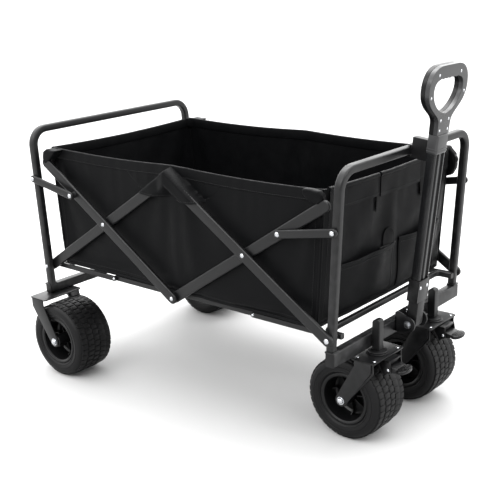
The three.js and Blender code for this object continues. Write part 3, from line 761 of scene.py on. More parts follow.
hub_shape = to_object(hub_bmesh(), "Hub").data
bpy.data.objects.remove(bpy.data.objects["Hub"])
for end in ("front", "rear"):
    for label in SIDES:
        low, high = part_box(f"{end}_tyre_{label}")
        centre = (low + high) / 2
        for shape, node, mat, slot in ((tyre_shape, "tyre", RUBBER, "tyre"),
                                       (hub_shape, "hub", NYLON, "black_plastic")):
            piece = bpy.data.objects.new(f"{end.capitalize()} {node} {label}", shape.copy())
            scene.collection.objects.link(piece)
            piece.data.transform(Matrix.Translation(centre))
            fit(piece, piece.name, f"{end}_wheel_{label}", mat, slot, f"{end}_{node}_{label}", smooth=32)


# ---- Forks, axles and casters ----------------------------------------------------------
# Pressed forks: a flanged top plate and two tapered legs with stiffening edges, axle bolts
# with nuts, and at the front a swivel bearing under each caster socket.

FORK_PLATE = 0.003
FORK_TOP = 0.190
TRAIL = 0.051
LEG_HALF_WIDTH = 0.020


def fork(node, body, lead, swivel):
    low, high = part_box(node)
    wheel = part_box(node.replace("caster_fork", "front_tyre").replace("rear_fork", "rear_tyre"))
    axle = (wheel[0] + wheel[1]) / 2
    plate_x = axle.x - lead * TRAIL
    y = axle.y
    top = FORK_TOP
    half_y = (high.y - low.y) / 2
    bm = slab(rounded_rectangle(0.056, 2 * half_y, 0.006), top - FORK_PLATE, top, 0.0009,
              axes((plate_x, y, 0), X, Y, Z))
    far = 0.019
    leg = [(-lead * LEG_HALF_WIDTH, top - 0.001), (lead * far, top - 0.001), (lead * far, top - 0.014)]
    tip = arc(lead * TRAIL, WHEEL_R, 0.013, 18 if lead > 0 else 162, -143 if lead > 0 else 323, 12)
    leg += [(lead * 0.064, WHEEL_R + 0.004), *tip, (-lead * LEG_HALF_WIDTH, top - 0.022)]
    for side in (1, -1):
        w0, w1 = span(side, half_y - FORK_PLATE, half_y)
        add(bm, slab(leg, w0, w1, 0.0008, side_view(plate_x, y=y)))
        edge = -lead * (LEG_HALF_WIDTH + 0.0005)
        fold = [(edge, top - 0.002), (edge, top - 0.024), (lead * 0.036, WHEEL_R + 0.006)]
        path = [(plate_x + u, y + side * (half_y - 0.0048), v) for u, v in fold]
        add(bm, sweep(bent(path, 0.008, 4), rounded_rectangle(0.0028, 0.0075, 0.0012), Y))
    if swivel:
        bearing = [(0, top), (0.021, top), (0.0225, top + 0.0012), (0.0225, top + 0.0022),
                   (0.019, top + 0.0034), (0, top + 0.0034)]
        add(bm, turned(bearing, 40, Matrix.Translation((plate_x, y, 0))))
    steel_part(bm, node, body)
    return plate_x, y


def axle_bolt(node, body):
    low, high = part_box(node)
    centre = (low + high) / 2
    half = (high.y - low.y) / 2
    reach = half - 0.004
    parts = [turned([(0, -reach), (0.005, -reach), (0.005, reach), (0, reach)], 24, lying(centre))]
    for side in (1, -1):
        seat = Vector((centre.x, centre.y + side * (half - 0.0053), centre.z))
        parts.append(turned([(0, 0), (0.0088, 0), (0.0088, 0.0012), (0, 0.0012)], 28, outward(seat, side)))
        dome = [(0.0066, 0.0012), (0.0066, 0.0030), (0.0052, 0.0050), (0.0028, 0.0062), (0, 0.0065)]
        parts.append(turned(dome, 28, outward(seat, side)))
    fit(merged(*parts), node.replace("_", " ").capitalize(), body, ZINC, "bolts", node)


for label, side in SIDES.items():
    fork(f"rear_fork_{label}", "rear_frame", 1, False)
    axle_bolt(f"rear_axle_{label}", "rear_frame")
    axle_bolt(f"caster_axle_{label}", f"caster_{label}")
    swivel_x, swivel_y = fork(f"caster_fork_{label}", f"caster_{label}", -1, True)
    low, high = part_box(f"caster_socket_{label}")
    post = [(-0.0090, 0.1963), (0.0090, 0.1963), *arc(0.0030, high.z - 0.006, 0.006, 0, 90, 5),
            *arc(0.0000, high.z - 0.009, 0.009, 90, 180, 6)]
    socket = slab(post, -0.0080, 0.0080, 0.0016, side_view(swivel_x, y=swivel_y), 3)
    race = turned([(0, 0.1935), (0.0190, 0.1935), (0.0200, 0.1945), (0.0195, 0.1962), (0.0140, 0.1972),
                   (0, 0.1972)], 40, Matrix.Translation((swivel_x, swivel_y, 0)))
    fit(merged(socket, race), f"Caster socket {label}", "front_frame", STEEL, "frame_steel",
        f"caster_socket_{label}")
    for dx in (-0.020, 0.020):
        for dy in (-0.044, 0.044):
            rivet(f"caster_{label}", Vector((swivel_x + dx, swivel_y + dy, FORK_TOP)), Z, 0.0030)


# ---- Brakes ----------------------------------------------------------------------------
# A moulded housing with ribs under the front of each caster fork, and a nylon foot pedal
# with an oval, ribbed pad that hinges between the housing's cheeks.

PAD_CENTRE = 0.0245
for label, side in SIDES.items():
    hinge = pivot[f"brake_{label}_press"]
    y = hinge.y
    parts = [box_bm((hinge.x - 0.020, y - 0.0223, 0.1835), (hinge.x + 0.004, y + 0.0223, 0.1866), 0.0008)]
    cheek = [(-0.020, 0.1866), (0.004, 0.1866), (0.007, hinge.z), *arc(0, hinge.z, 0.007, -10, -90, 5),
             (-0.008, 0.1535), (-0.018, 0.172)]
    for out in (1, -1):
        w0, w1 = span(out, 0.0193, 0.0223)
        parts.append(slab(cheek, w0, w1, 0.0008, side_view(hinge.x, y=y)))
        rivet(f"caster_{label}", Vector((hinge.x, y + out * 0.0224, hinge.z)), Y * out, 0.0030)
    for k in range(4):
        x = hinge.x - 0.017 + k * 0.0055
        parts.append(box_bm((x, y - 0.019, 0.1775), (x + 0.0016, y + 0.019, 0.184), 0.0004))
    fit(merged(*parts), f"Brake housing {label}", f"caster_{label}", NYLON, "black_plastic",
        f"brake_housing_{label}")
    lever = [(-0.011, -0.006), (0.004, -0.007), (0.020, -0.003), (0.020, 0.003), (0.005, 0.0065),
             (-0.006, 0.007)]
    pad = [(PAD_CENTRE + 0.0125 * math.cos(a), 0.0225 * math.sin(a))
           for a in np.linspace(0, 2 * math.pi, 41)[:-1]]
    pedal = merged(slab(lever, -0.0187, 0.0187, 0.0015, side_view(hinge.x, hinge.z, y=y)),
                   slab(pad, -0.0035, 0.0035, 0.0022, axes(hinge, X, Y, Z), 3))
    for k in range(5):
        x = hinge.x + 0.0175 + k * 0.0045
        reach = 0.015 * math.sqrt(1 - ((x - hinge.x - PAD_CENTRE) / 0.0145) ** 2)
        add(pedal, box_bm((x, y - reach, hinge.z + 0.003), (x + 0.0018, y + reach, hinge.z + 0.0047), 0.0005))
    fit(pedal, f"Brake pedal {label}", f"brake_{label}", NYLON, "black_plastic", f"brake_pedal_{label}")


# ---- Pull handle -----------------------------------------------------------------------
# Bracket with cheeks and hinge bolt, foot, grooved telescopic tubes with dark strips that paint
# the shade in the lower tube's channels, collar and rail clip, and a D grip of two screwed shells.

def weave_group():
    """Over and under threads of a plain weave, in the cloth's own UV lengths."""
    group, source, out = new_group("Plain weave", ("Height", "Tone"))
    vector = scaled(group, source)
    heights = []
    for axis in ("X", "Y"):
        wave = group.nodes.new("ShaderNodeTexWave")
        wave.bands_direction = axis
        wave.inputs["Scale"].default_value = 260
        wave.inputs["Distortion"].default_value = 0.4
        wave.inputs["Detail"].default_value = 1
        group.links.new(vector, wave.inputs["Vector"])
        heights.append(wave.outputs["Fac"])
    group.links.new(combine(group, "MULTIPLY", *heights), out.inputs["Height"])
    slubs = noise_node(group, vector, 35, 5, 0.6)
    group.links.new(slubs, out.inputs["Tone"])
    return group


GROUPS["weave"] = weave_group()

GREY_NYLON = material("Grey nylon", (0.0240, 0.0243, 0.0252), 0.30, height=0.08, dust=0.008, gloss=0.40)

ALLOY = material("Anodised alloy", (0.0055, 0.0057, 0.0063), 0.22, 0.12, height=0.02, tone=0.06, dust=0.005,
                 gloss=0.40)

WEBBING = material("Nylon webbing", (0.0018, 0.0018, 0.0021), 0.62, effect="weave", height=0.5,
                   tone=0.2, dust=0.004, scale=0.45, coordinates="UV", gloss=0.10)

tilt = pivot["handle_tilt"]
HANDLE_LEAN = math.radians(6.3)
lean = Matrix.Translation(tilt) @ Matrix.Rotation(HANDLE_LEAN, 4, "Y")
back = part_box("front_crossbar")[1].x + 0.0003
cheek = [(back, 0.206), *arc(tilt.x, tilt.z, 0.017, -90, 90, 14), (back + 0.006, 0.252), (back, 0.248)]
parts = [box_bm((back, -0.027, 0.206), (back + 0.004, 0.027, 0.248), 0.001)]
for side in (1, -1):
    w0, w1 = span(side, 0.023, 0.027)
    parts.append(slab(cheek, w0, w1, 0.001, side_view()))
fit(merged(*parts), "Handle bracket", "front_frame", STEEL, "frame_steel", "handle_bracket")
bolt = [turned([(0, -0.030), (0.005, -0.030), (0.005, 0.030), (0, 0.030)], 24, lying(tilt))]
for side in (1, -1):
    seat = Vector((tilt.x, side * 0.027, tilt.z))
    hexagon = [(0.0062 * math.cos(k * math.pi / 3), 0.0062 * math.sin(k * math.pi / 3)) for k in range(6)]
    bolt.append(slab(hexagon, 0.0008, 0.0052, 0.0006, outward(seat, side)))
    bolt.append(turned([(0, 0), (0.0082, 0), (0.0082, 0.001), (0, 0.001)], 28, outward(seat, side)))
    for z in (0.214, 0.240):
        rivet("front_frame", Vector((back + 0.004, side * 0.0145, z)), X, 0.0030)
fit(merged(*bolt), "Handle hinge bolt", "front_frame", ZINC, "bolts")


def handle_piece(bm, name, body, mat, slot, *nodes, smooth=38):
    bmesh.ops.transform(bm, matrix=lean, verts=bm.verts)
    return fit(bm, name, body, mat, slot, *nodes, smooth=smooth)


foot = [(-0.012, 0.060), *arc(0, 0, 0.012, 180, 360, 12), (0.012, 0.060)]
gusset = [(-0.0125, 0.050), (0.0125, 0.050), (0.0125, 0.098), (-0.0125, 0.098)]
foot_parts = [slab(foot, -0.0135, 0.0135, 0.0018, side_view()),
              turned([(0.0052, -0.0228), (0.0085, -0.0228), (0.0085, 0.0228), (0.0052, 0.0228)], 28,
                     lying())]
for side in (1, -1):
    w0, w1 = span(side, 0.0192, 0.0212)
    foot_parts.append(slab(gusset, w0, w1, 0.0006, side_view()))
foot_parts.append(box_bm((0.0102, -0.0212, 0.050), (0.0122, 0.0212, 0.098), 0.0006))
handle_piece(merged(*foot_parts), "Handle foot", "handle_lower", STEEL, "frame_steel", "handle_foot")
for side in (1, -1):
    rivet("handle_lower", lean @ Vector((0.0122, side * 0.013, 0.082)), lean.to_3x3() @ X, 0.0034)


def grooved(width, depth, r=0.0026):
    """A rounded rectangle whose front and back have two channels beside a middle rib."""
    w, d = width / 2, depth / 2
    lip, rib = w - 0.0042, 0.0032
    half = arc(w - r, d - r, r, 0, 90, 4)
    half += [(lip, d), (lip - 0.0006, d - 0.0022), (rib + 0.0006, d - 0.0022), (rib, d - 0.0006)]
    half += [(-u, v) for u, v in reversed(half)]
    return half + [(-u, -v) for u, v in half]


lower = sweep([(0, 0, 0.060), (0, 0, 0.372)], grooved(0.038, 0.020), Y)
handle_piece(lower, "Handle lower tube", "handle_lower", ALLOY, "handle_alloy", "handle_lower_tube",
             smooth=25)
# Dark strips in the channels of the lower tube paint the shade that falls in them.
channel_shade_strips = [box_bm((face * 0.0080 - 0.0002, side * 0.0091 - 0.0050, 0.100),
                 (face * 0.0080 + 0.0002, side * 0.0091 + 0.0050, 0.362), 0.0001)
          for side in (1, -1) for face in (1, -1)]
handle_piece(merged(*channel_shade_strips), "Handle channel strips", "handle_lower", WEBBING, "black_plastic")
upper = sweep([(0, 0, 0.072), (0, 0, 0.430)], grooved(0.033, 0.015), Y)
handle_piece(upper, "Handle upper tube", "handle_upper", ALLOY, "handle_alloy", "handle_upper_tube",
             smooth=25)

collar = slab(rounded_rectangle(0.0235, 0.0415, 0.004), 0.364, 0.402, 0.0022, axes((0, 0, 0), X, Y, Z), 3)
for z in (0.3675, 0.3725):
    add(collar, slab(rounded_rectangle(0.0250, 0.0430, 0.0045), z, z + 0.0022, 0.0007))
handle_piece(collar, "Handle collar", "handle_lower", GREY_NYLON, "grey_plastic", "handle_collar")

rail = lean.inverted() @ front_lean @ Vector((0, 0, HOOP_RISE))
half = TUBE / 2 + 0.0015
top = rail.z + half
jaw = [(-0.0128, rail.z - half - 0.003), (-0.0128, top + 0.020), (rail.x + half, top + 0.020),
       (rail.x + half, top + 0.003), (rail.x, top + 0.003), (rail.x, top), (rail.x + half, top),
       (rail.x + half, rail.z - half), (rail.x, rail.z - half), (rail.x + 0.002, rail.z - half - 0.003)]
handle_piece(slab(jaw, -0.0085, 0.0085, 0.0012, side_view(), 3), "Handle clip", "handle_lower",
             NYLON, "black_plastic", "handle_clip")


def bezier(a, b, c, d, steps=10):
    points = []
    for k in range(1, steps + 1):
        t = k / steps
        mix = ((1 - t) ** 3, 3 * (1 - t) ** 2 * t, 3 * (1 - t) * t * t, t ** 3)
        points.append(tuple(sum(w * p[i] for w, p in zip(mix, (a, b, c, d))) for i in range(2)))
    return points


def grip_outline():
    """Half of the grip in (y, height above the collar), mirrored to close it."""
    side = [(0.0225, 0), (0.0235, 0.024)]
    side += bezier(side[-1], (0.0265, 0.046), (0.073, 0.051), (0.0745, 0.090), 14)
    side += bezier(side[-1], (0.075, 0.118), (0.058, 0.1345), (0.030, 0.1355), 14)
    return side + [(-y, z) for y, z in reversed(side)]


def grip_opening():
    side = bezier((0, 0.042), (0.020, 0.042), (0.055, 0.062), (0.056, 0.089), 14)
    side += bezier(side[-1], (0.056, 0.102), (0.048, 0.109), (0.036, 0.1095), 7)
    grooves = [(y, 0.1095 + 0.0018 * abs(math.sin(y / 0.0125 * math.pi))) for y in np.linspace(0.0345, 0, 14)]
    half = side + grooves
    return [(0, 0.042)] + half[:-1] + [grooves[-1]] + [(-y, z) for y, z in reversed(half[:-1])]


COLLAR_TOP = 0.4023
for front in (True, False):
    low, high = (0.0002, 0.0095) if front else (-0.0095, -0.0002)
    rise = [(y, z + COLLAR_TOP) for y, z in grip_outline()]
    hole = [(y, z + COLLAR_TOP) for y, z in grip_opening()]
    shell = slab(rise, low, high, 0.0048, axes((0, 0, 0), Y, Z, X), 5, holes=(hole,))
    name, mat, slot = (("front", GREY_NYLON, "grey_plastic") if front
                       else ("rear", NYLON, "black_plastic"))
    handle_piece(shell, f"Grip {name} shell", "handle_upper", mat, slot, f"grip_{name}_shell")
for y, z in ((0.0155, 0.009), (0.0155, 0.029), (0.0640, 0.078), (0.0420, 0.1185)):
    for side in (1, -1):
        rivet("handle_upper", lean @ Vector((0.0093, side * y, COLLAR_TOP + z)), lean.to_3x3() @ X, 0.0025)


# ---- Basket cloth ----------------------------------------------------------------------
# Five panels of one coated canvas skin, hung from sleeves at the bar heads and corners and
# lying on the floor mat. A cloth simulation gives it its slack; hems, sleeves, pockets and
# webbing are then laid on the settled skin.

CANVAS = material("Coated canvas", (0.0019, 0.0020, 0.0023), 0.46, effect="weave", height=0.2,
                  tone=0.25, dust=0.006, coordinates="UV", sheen=0.003, gloss=0.055)

basket_low, basket_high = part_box("basket")
FLOOR_Z, RIM_Z = basket_low.z + 0.001, basket_high.z
HALF_W = basket_high.y - 0.0015
HALF_RIM = (basket_high.x - basket_low.x) / 2 - 0.0015
HALF_FLOOR = HALF_RIM - 0.020
NX, NY, NZ = 72, 44, 26


def rim_height(x):
    """The rim dips a little between the corners and the centre heads."""
    t = abs(x - MID_X) / HALF_RIM
    return RIM_Z - 0.004 * math.sin(math.pi * t) - 0.001 * t


def skin_point(u, v, panel):
    """u and v from 0 to 1: along and up a wall, or along and across the floor."""
    half_x = HALF_FLOOR + (HALF_RIM - HALF_FLOOR) * v
    if panel in ("left", "right"):
        side = SIDES[panel]
        x = MID_X + (2 * u - 1) * half_x
        return Vector((x, side * HALF_W, FLOOR_Z + (rim_height(x) - FLOOR_Z) * v))
    if panel in ("front", "rear"):
        end = 1 if panel == "front" else -1
        x = MID_X + end * half_x
        z = FLOOR_Z + (rim_height(x) - 0.005 * math.sin(math.pi * u) - FLOOR_Z) * v
        return Vector((x, (2 * u - 1) * HALF_W, z))
    return Vector((MID_X + (2 * u - 1) * HALF_FLOOR, (2 * v - 1) * HALF_W, FLOOR_Z))


panels = {"left": (NX, NZ), "right": (NX, NZ), "front": (NY, NZ), "rear": (NY, NZ), "floor": (NX, NY)}
skin = bmesh.new()
uv = skin.loops.layers.uv.new("UVMap")
index = {}
shared = {}


def skin_vert(point):
    key = tuple(round(c, 6) for c in point)
    if key not in shared:
        shared[key] = skin.verts.new(point)
    return shared[key]


def sheet_faces(bm, layer, verts, wide, tall):
    """Faces between rows of vertices, with the sheet's own lengths as UV."""
    nu, nv = len(verts) - 1, len(verts[0]) - 1
    for i in range(nu):
        for j in range(nv):
            corners = ((i, j), (i + 1, j), (i + 1, j + 1), (i, j + 1))
            face = bm.faces.new([verts[a][b] for a, b in corners])
            for loop, (a, b) in zip(face.loops, corners):
                loop[layer].uv = (a / nu * wide, b / nv * tall)


for panel, (across, up) in panels.items():
    corner = skin_point(0, 0, panel)
    index[panel] = [[skin_vert(skin_point(i / across, j / up, panel)) for j in range(up + 1)]
                    for i in range(across + 1)]
    sheet_faces(skin, uv, index[panel], (skin_point(1, 0, panel) - corner).length,
                (skin_point(0, 1, panel) - corner).length)
bmesh.ops.recalc_face_normals(skin, faces=skin.faces)
skin.verts.index_update()
index = {panel: np.array([[v.index for v in row] for row in grid]) for panel, grid in index.items()}
skin_obj = to_object(skin, "Basket")


def upright_panels():
    """Each wall with its vertices, its outward axis and sign, and u and v along it."""
    for panel, (across, up) in panels.items():
        if panel != "floor":
            axis, sign = (1, SIDES[panel]) if panel in SIDES else (0, 1 if panel == "front" else -1)
            u, v = np.linspace(0, 1, across + 1)[:, None], np.linspace(0, 1, up + 1)[None, :]
            yield panel, index[panel], axis, sign, u, v


def seeded(co):
    """A faint outward belly and shallow folds that the slack settles into."""
    out = co.copy()
    for panel, grid, axis, sign, u, v in upright_panels():
        phase = {"left": 0.3, "right": 1.1, "front": 2.0, "rear": 2.9}[panel]
        waves = np.sin(11 * u + 5 * v + phase) * np.cos(7 * v - 9 * u + 2 * phase)
        fine = np.sin(31 * u - 13 * v + 3 * phase) * np.sin(17 * v + 8 * u)
        push = np.sin(math.pi * u) * np.sin(math.pi * v) * (0.0035 + 0.0022 * waves + 0.0012 * fine)
        out[grid, axis] += sign * push
    return out


rest = np.array([v.co for v in skin_obj.data.vertices])
start = seeded(rest)
skin_obj.data.vertices.foreach_set("co", start.ravel())
pins = skin_obj.vertex_groups.new(name="Held")
for panel, (across, up) in panels.items():
    for i in range(across + 1):
        for j in range(up + 1):
            x = rest[index[panel][i, j]][0]
            near_corner = abs(abs(x - MID_X) - HALF_RIM) < 0.030
            near_head = abs(x - MID_X) < 0.034 and panel in SIDES
            weight = 0.0
            if panel == "floor" or j == 0:
                weight = 1.0
            elif j >= up - 2 and panel in SIDES and (near_corner or near_head):
                weight = 1.0
            elif j == up:
                weight = 0.92
            elif i in (0, across):
                weight = 0.45
            if weight:
                pins.add([int(index[panel][i, j])], weight, "REPLACE")
cloth = skin_obj.modifiers.new("Cloth", "CLOTH")
settings = cloth.settings
settings.quality = 6
settings.mass = 0.25
settings.tension_stiffness = settings.compression_stiffness = 18
settings.shear_stiffness = 8
settings.bending_stiffness = 0.8
settings.air_damping = 2.5
settings.shrink_min = -0.0035
settings.vertex_group_mass = "Held"
cloth.collision_settings.use_collision = False
cloth.collision_settings.use_self_collision = False
cloth.point_cache.frame_end = 32
for step in range(1, 33):
    scene.frame_set(step)
convert(skin_obj)
scene.frame_set(1)
settled = np.array([v.co for v in skin_obj.data.vertices])


def press_walls(co):
    """The bars press the long walls in where they cross them."""
    out = co.copy()
    lines = []
    for foot, heading, length in ((END_R, 1, BAR_LENGTH), (MID_X, 1, FREE_HEAD), (MID_X, -1, FREE_HEAD),
                                  (END_F, -1, BAR_LENGTH)):
        lines.append((np.array([foot, FOOT_Z]),
                      np.array([heading * math.cos(BAR_ANGLE), math.sin(BAR_ANGLE)]), length, heading > 0))
    for label, side in SIDES.items():
        ids = np.unique(index[label])
        flat = out[ids][:, [0, 2]]
        limit = np.full(len(ids), 0.2560)
        for foot, direction, length, inner in lines:
            rel = flat - foot
            t = np.clip(rel @ direction, 0, length)
            away = np.linalg.norm(rel - t[:, None] * direction, axis=1)
            face = 0.2405 if inner else 0.2500
            limit = np.minimum(limit, face + 0.30 * np.maximum(0, away - 0.014))
        out[ids, 1] = side * np.minimum(side * out[ids, 1], limit)
    return out


def creased(co):
    """Soft upright creases that handling leaves, strongest on the end panels."""
    out = co.copy()
    for panel, grid, axis, sign, u, v in upright_panels():
        fade = np.sin(math.pi * u) ** 0.7 * np.sin(math.pi * v) ** 0.8
        if panel in SIDES:
            push = 0.0011 * fade * (np.sin(10 * u + 1.5 * np.sin(5 * v)) + 0.6 * np.sin(19 * u - 8 * v))
        else:
            push = 0.0021 * fade * (np.sin(14 * u + 2.2 * np.sin(6 * v)) + 0.7 * np.sin(27 * u - 9 * v))
        out[grid, axis] += sign * push
    return out


settled = press_walls(creased(settled))
skin_obj.data.vertices.foreach_set("co", settled.ravel())
skin_obj.data.update()
wall_grid = {panel: settled[grid] for panel, grid in index.items()}


def wall(panel, u, v, lift=0.0):
    """A point of the settled skin, lifted outward along its normal."""
    grid = wall_grid[panel]
    n, m = grid.shape[0] - 1, grid.shape[1] - 1

    def at(a, b):
        a, b = min(max(a, 0), 1) * n, min(max(b, 0), 1) * m
        i, j = min(int(a), n - 1), min(int(b), m - 1)
        s, t = a - i, b - j
        return ((1 - s) * (1 - t) * grid[i, j] + s * (1 - t) * grid[i + 1, j]
                + (1 - s) * t * grid[i, j + 1] + s * t * grid[i + 1, j + 1])

    du = at(u + 0.02, v) - at(u - 0.02, v)
    dv = at(u, v + 0.04) - at(u, v - 0.04)
    normal = Vector(np.cross(du, dv)).normalized()
    out = Y * SIDES[panel] if panel in SIDES else X * (1 if panel == "front" else -1)
    return Vector(at(u, v)) + (normal if normal.dot(out) > 0 else -normal) * lift


def patch(panel, point, nu, nv, thickness=0.0014, name="Patch"):
    """A sheet over u and v from 0 to 1, given thickness; point(s, t) places it."""
    bm = bmesh.new()
    layer = bm.loops.layers.uv.new("UVMap")
    places = [[point(i / nu, j / nv) for j in range(nv + 1)] for i in range(nu + 1)]
    verts = [[bm.verts.new(p) for p in row] for row in places]
    wide = max((places[-1][j] - places[0][j]).length for j in range(nv + 1))
    tall = max((row[-1] - row[0]).length for row in places)
    sheet_faces(bm, layer, verts, wide, tall)
    bm.normal_update()
    facing = X if panel == "front" else Y
    cut = sum(face.calc_area() * abs(face.normal.dot(facing)) for face in bm.faces)
    obj = to_object(bm, name)
    return thicken(obj, thickness), ((wide, tall), min(cut, wide * tall))


def thicken(obj, thickness):
    solid = obj.modifiers.new("Thickness", "SOLIDIFY")
    solid.thickness = thickness
    solid.offset = 0
    return convert(obj)


def soft(obj, mat, *nodes):
    """Fits a finished soft piece to the basket and gives it a mesh of its own."""
    if not obj.data.uv_layers:
        layer = obj.data.uv_layers.new(name="UVMap")
        spots = [obj.data.vertices[loop.vertex_index].co for loop in obj.data.loops]
        layer.data.foreach_set("uv", [c for p in spots for c in (p.x + p.y, p.z)])
    fit(obj, obj.name, "basket", mat, "canvas", *nodes, smooth=50)
    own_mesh(obj)
    return obj


thicken(skin_obj, 0.0016)
soft(skin_obj, CANVAS, "basket")


# ---- Hems, piping and stitches ---------------------------------------------------------
# A folded hem round the rim, piping down the corners and round the floor, and lines of
# stitches set by a Geometry Nodes group.

THREAD = material("Sewing thread", (0.006, 0.006, 0.0065), 0.6, height=0.05, dust=0.01, scale=4, gloss=0.3)


def stitch_group():
    tree, ids, source, out = geometry_tree("Stitches", Pitch=("Float", 0.005))
    node, link = tree.nodes.new, tree.links.new
    curve = node("GeometryNodeMeshToCurve")
    link(source.outputs["Geometry"], curve.inputs["Mesh"])
    spaced = node("GeometryNodeResampleCurve")
    spaced.mode = "LENGTH"
    link(curve.outputs["Curve"], spaced.inputs["Curve"])
    link(source.outputs["Pitch"], spaced.inputs["Length"])
    tangent = node("GeometryNodeInputTangent")
    align = node("FunctionNodeAlignRotationToVector")
    align.axis = "Z"
    link(tangent.outputs["Tangent"], align.inputs["Vector"])
    thread = node("GeometryNodeMeshIcoSphere")
    thread.inputs["Radius"].default_value = 0.5
    thread.inputs["Subdivisions"].default_value = 2
    length = node("ShaderNodeMath")
    length.operation = "MULTIPLY"
    length.inputs[1].default_value = 0.68
    link(source.outputs["Pitch"], length.inputs[0])
    size = node("ShaderNodeCombineXYZ")
    size.inputs["X"].default_value = 0.0011
    size.inputs["Y"].default_value = 0.0011
    link(length.outputs[0], size.inputs["Z"])
    stitches = node("GeometryNodeInstanceOnPoints")
    link(spaced.outputs["Curve"], stitches.inputs["Points"])
    link(thread.outputs["Mesh"], stitches.inputs["Instance"])
    link(align.outputs["Rotation"], stitches.inputs["Rotation"])
    link(size.outputs["Vector"], stitches.inputs["Scale"])
    link(painted(tree, source, stitches.outputs["Instances"]), out.inputs["Geometry"])
    return tree, ids


STITCHES, STITCH_INPUTS = stitch_group()
stitch_lines = []


def rim_path(v, lift):
    """Points round the basket at one height, from corner to corner."""
    points = []
    for panel in ("right", "front", "left", "rear"):
        count = panels[panel][0]
        us = [k / count for k in range(1, count)]
        if panel in ("left", "rear"):
            us = us[::-1]
        points += [wall(panel, u, v, lift) for u in us]
    return points


def around(path):
    """The outward direction at each point of a closed, level path."""
    return lambda i: (path[(i + 1) % len(path)] - path[i - 1]).cross(Z)


hem_path = rim_path(0.957, 0)
hem = sweep(hem_path, rounded_rectangle(0.0052, 0.024, 0.0022, 3), around(hem_path), closed=True)
soft(to_object(hem, "Rim hem"), CANVAS)
floor_path = rim_path(0.012, 0.0005)
piping = sweep(floor_path, rounded_rectangle(0.005, 0.007, 0.0022, 3), around(floor_path), closed=True)
for panel, u in (("right", 0.0), ("right", 1.0), ("left", 0.0), ("left", 1.0)):
    seam = [wall(panel, u, k / 20) for k in range(1, 19)]
    add(piping, sweep(seam, rounded_rectangle(0.0056, 0.0056, 0.0022, 3), X))
soft(to_object(piping, "Corner and floor piping"), CANVAS)
for height, lift in ((0.925, 0.0031), (0.045, 0.0014)):
    line = rim_path(height, lift)
    stitch_lines.append([*line, line[0]])
for panel, inset in (("right", 0.018), ("left", 0.018), ("front", 0.03), ("rear", 0.03)):
    for u in (inset, 1 - inset):
        stitch_lines.append([wall(panel, u, k / 24, 0.0014) for k in range(2, 23)])


# ---- Sleeves ---------------------------------------------------------------------------
# Caps of the same canvas as the basket, sewn to its long walls over the centre heads and
# round the bars' free heads at the corners.

def smoothstep(a, b, x):
    t = min(max((x - a) / (b - a), 0), 1)
    return t * t * (3 - 2 * t)


def hidden_bar_cover(x, z):
    """1 over a scissor bar climbing to the centre head, falling to 0 beside it."""
    run = (HEAD_Z - z) / math.tan(BAR_ANGLE)
    inside = abs(x - MID_X) < run
    return 1 - smoothstep(0, 0.046 if inside else 0.011, abs(abs(x - MID_X) - run) - 0.0195)


def centre_sleeve(panel):
    side = SIDES[panel]

    def place(s, t):
        w = 2 * s - 1
        x = MID_X + w * (0.150 - 0.010 * t)
        top = rim_height(x) - 0.0005
        low = 0.480 + (top - 0.486) * abs(w) ** 5
        z = low + (top - low) * (1 - (1 - t) ** 1.25)
        u = 0.5 + (x - MID_X) / (2 * HALF_RIM)
        slit = hidden_bar_cover(x, z)
        buried = (1 - slit) * (1 - smoothstep(0.02, 0.16, t)) + smoothstep(0.90, 1, abs(w))
        point = wall(panel, u, (z - FLOOR_Z) / (rim_height(x) - FLOOR_Z), 0.0012 - 0.0014 * min(1, buried))
        layer = 0.2655 + (0.0 if x > MID_X else -0.0085) * smoothstep(0, 0.03, abs(x - MID_X))
        close = 1 - smoothstep(0.545, 0.5515, z)
        ripple = 0.0004 * math.sin(17 * w + 5 * t)
        over = slit * close
        point.y = side * (abs(point.y) + max(0, layer + ripple - abs(point.y)) * over)
        return point

    return place


# Pouches round the free bar heads at the four corners, in (distance forward of the
# centre, height): the front ones stand out past the front panel.
POUCHES = {
    ("front", "left"): (0.2545, [(0.338, 0.549), (0.388, 0.550), (0.402, 0.535), (0.408, 0.512),
                                 (0.400, 0.486), (0.378, 0.480), (0.352, 0.497)]),
    ("front", "right"): (0.2530, [(0.350, 0.5490), (0.388, 0.549), (0.3955, 0.541), (0.3960, 0.531),
                                  (0.387, 0.522), (0.366, 0.526), (0.350, 0.537)]),
}
for label in SIDES:
    POUCHES["rear", label] = (0.2625, [(-0.346, 0.5470), (-0.382, 0.5475), (-0.3930, 0.541), (-0.3970, 0.528),
                                       (-0.3955, 0.516), (-0.386, 0.512), (-0.368, 0.527)])


def pouch(outline, side, depth):
    low, high = span(side, 0.2375, depth)
    bm = slab([(MID_X + x, z) for x, z in outline], low, high, 0.0045, side_view(), 4)
    bmesh.ops.subdivide_edges(bm, edges=[e for e in bm.edges if e.calc_length() > 0.008], cuts=3,
                              use_grid_fill=True)
    for vert in bm.verts:
        wobble = math.sin(160 * vert.co.x) * math.sin(210 * vert.co.z + 3 * side)
        vert.co += Vector((0.0007, side * 0.0012, -0.0006)) * wobble
    return bm


sleeves = []
for label in SIDES:
    cap, size = patch(label, centre_sleeve(label), 120, 24, 0.0008, name=f"Centre sleeve {label}")
    sleeves.append((cap, size))
    place = centre_sleeve(label)
    stitch_lines.append([place(k / 90, 0.05) + Y * SIDES[label] * 0.0010 for k in range(14, 77)])
    for word in ("front", "rear"):
        depth, outline = POUCHES[word, label]
        soft(to_object(pouch(outline, SIDES[label], depth), f"Corner pouch {word} {label}"), CANVAS)
for cap, size in sleeves:
    soft(cap, CANVAS)
